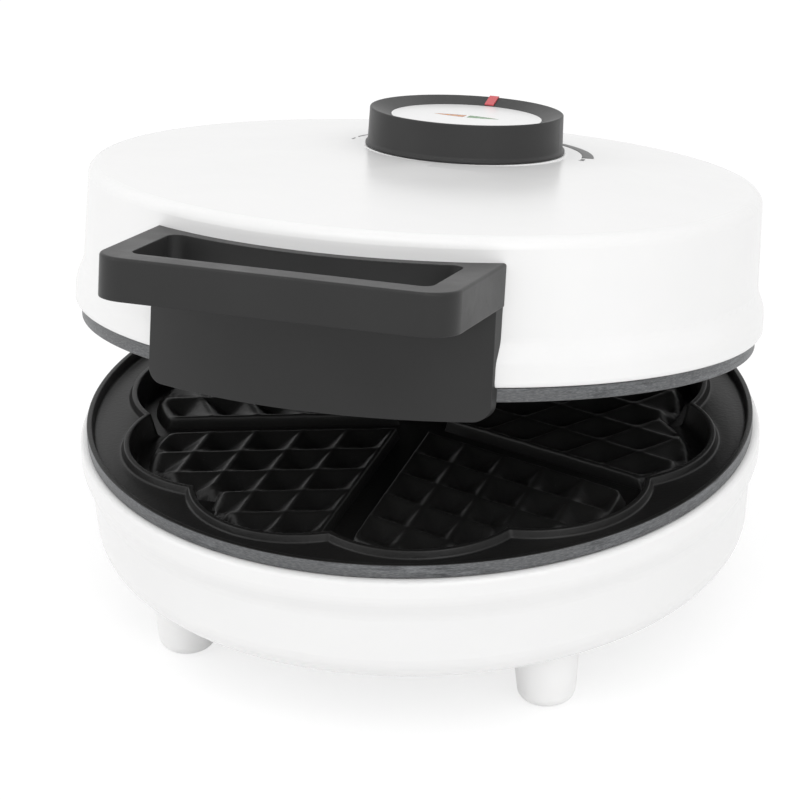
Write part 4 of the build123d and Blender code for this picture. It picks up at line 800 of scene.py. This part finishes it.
# Stage
def photo_camera():
    """Camera at the photograph's viewpoint."""
    lens = bpy.data.cameras.new("photo camera")
    lens.lens = LENS
    lens.sensor_width = 36.0
    lens.clip_start = 0.05
    lens.clip_end = 20.0
    camera = bpy.data.objects.new("photo camera", lens)
    axes = Matrix((CAMERA_RIGHT, CAMERA_UP, CAMERA_BACK)).transposed().to_4x4()
    camera.matrix_world = Matrix.Translation(Vector(CAMERA_AT) * MM) @ axes
    bpy.context.scene.collection.objects.link(camera)
    bpy.context.scene.camera = camera


def softbox(name, place, wide, high, power, colour=(1, 1, 1)):
    """Rectangular lamp that faces the middle of the object."""
    light = bpy.data.lights.new(name, "AREA")
    light.shape = "RECTANGLE"
    light.size = wide
    light.size_y = high
    light.energy = power
    light.color = colour
    lamp = bpy.data.objects.new(name, light)
    lamp.location = place
    lamp.rotation_euler = (Vector((0, 0, 0.08)) - Vector(place)).to_track_quat("-Z", "Y").to_euler()
    bpy.context.scene.collection.objects.link(lamp)


def white_floor():
    """Plain pale floor that shows white where nothing shades it and keeps a pale shadow."""
    size = 3.0
    corners = np.array([[-size, -size, 0], [size, -size, 0], [size, size, 0], [-size, size, 0]])
    floor = mesh_piece("studio_floor", corners / MM, np.array([[0, 1, 2, 3]]))
    made = bpy.data.materials.new("studio floor")
    made.use_nodes = True
    tree = made.node_tree
    tree.nodes.clear()
    paper = add(tree, "ShaderNodeBsdfDiffuse", {"Color": grey(0.93)})
    pale = add(tree, "ShaderNodeBsdfDiffuse", {"Color": grey(0.32)})
    lift = add(tree, "ShaderNodeEmission", {"Color": grey(1.0), "Strength": 0.73})
    shown = add(tree, "ShaderNodeAddShader", {0: pale.outputs[0], 1: lift.outputs[0]})
    path = add(tree, "ShaderNodeLightPath").outputs
    seen = calc(tree, "MAXIMUM", path["Is Camera Ray"], path["Is Glossy Ray"])
    seen = calc(tree, "MAXIMUM", seen, path["Is Transmission Ray"])
    mix = add(tree, "ShaderNodeMixShader", {0: seen, 1: paper.outputs[0], 2: shown.outputs[0]})
    add(tree, "ShaderNodeOutputMaterial", {"Surface": mix.outputs[0]})
    floor.data.materials.append(made)


def studio():
    """White surroundings and plain soft lamps, at a level that shows a colour as it is written."""
    world = bpy.data.worlds.new("studio")
    bpy.context.scene.world = world
    world.use_nodes = True
    tree = world.node_tree
    tree.nodes.clear()
    path = add(tree, "ShaderNodeLightPath").outputs
    seen = calc(tree, "MAXIMUM", path["Is Camera Ray"], path["Is Transmission Ray"])
    glossy = calc(tree, "MULTIPLY", path["Is Glossy Ray"], 1.0)
    seen = calc(tree, "MAXIMUM", seen, glossy)
    ambient = add(tree, "ShaderNodeBackground", {"Color": grey(1.0), "Strength": 0.78})
    shown = add(tree, "ShaderNodeBackground", {"Color": grey(1.0), "Strength": 1.0})
    mix = add(tree, "ShaderNodeMixShader", {0: seen, 1: ambient.outputs[0], 2: shown.outputs[0]})
    add(tree, "ShaderNodeOutputWorld", {"Surface": mix.outputs[0]})
    softbox("key right", (1.1, -1.2, 1.25), 1.2, 1.2, 7.0)
    softbox("fill left", (-1.4, -0.9, 0.9), 1.2, 1.2, 4.2)
    softbox("top front", (0.1, -0.7, 1.75), 1.5, 0.9, 5.6)


bpy.context.scene.view_settings.view_transform = "Standard"
photo_camera()
studio()
white_floor()

made_finishes = finishes()
dress(made_finishes)
for casting in plates():
    casting.data.materials.append(made_finishes["coated_casting"])
printed = [heat_scale()] + [scale_numeral(*numeral) for numeral in NUMERALS]
ink = screen_ink()
for film in printed:
    film.data.materials.clear()
    film.data.materials.append(ink)
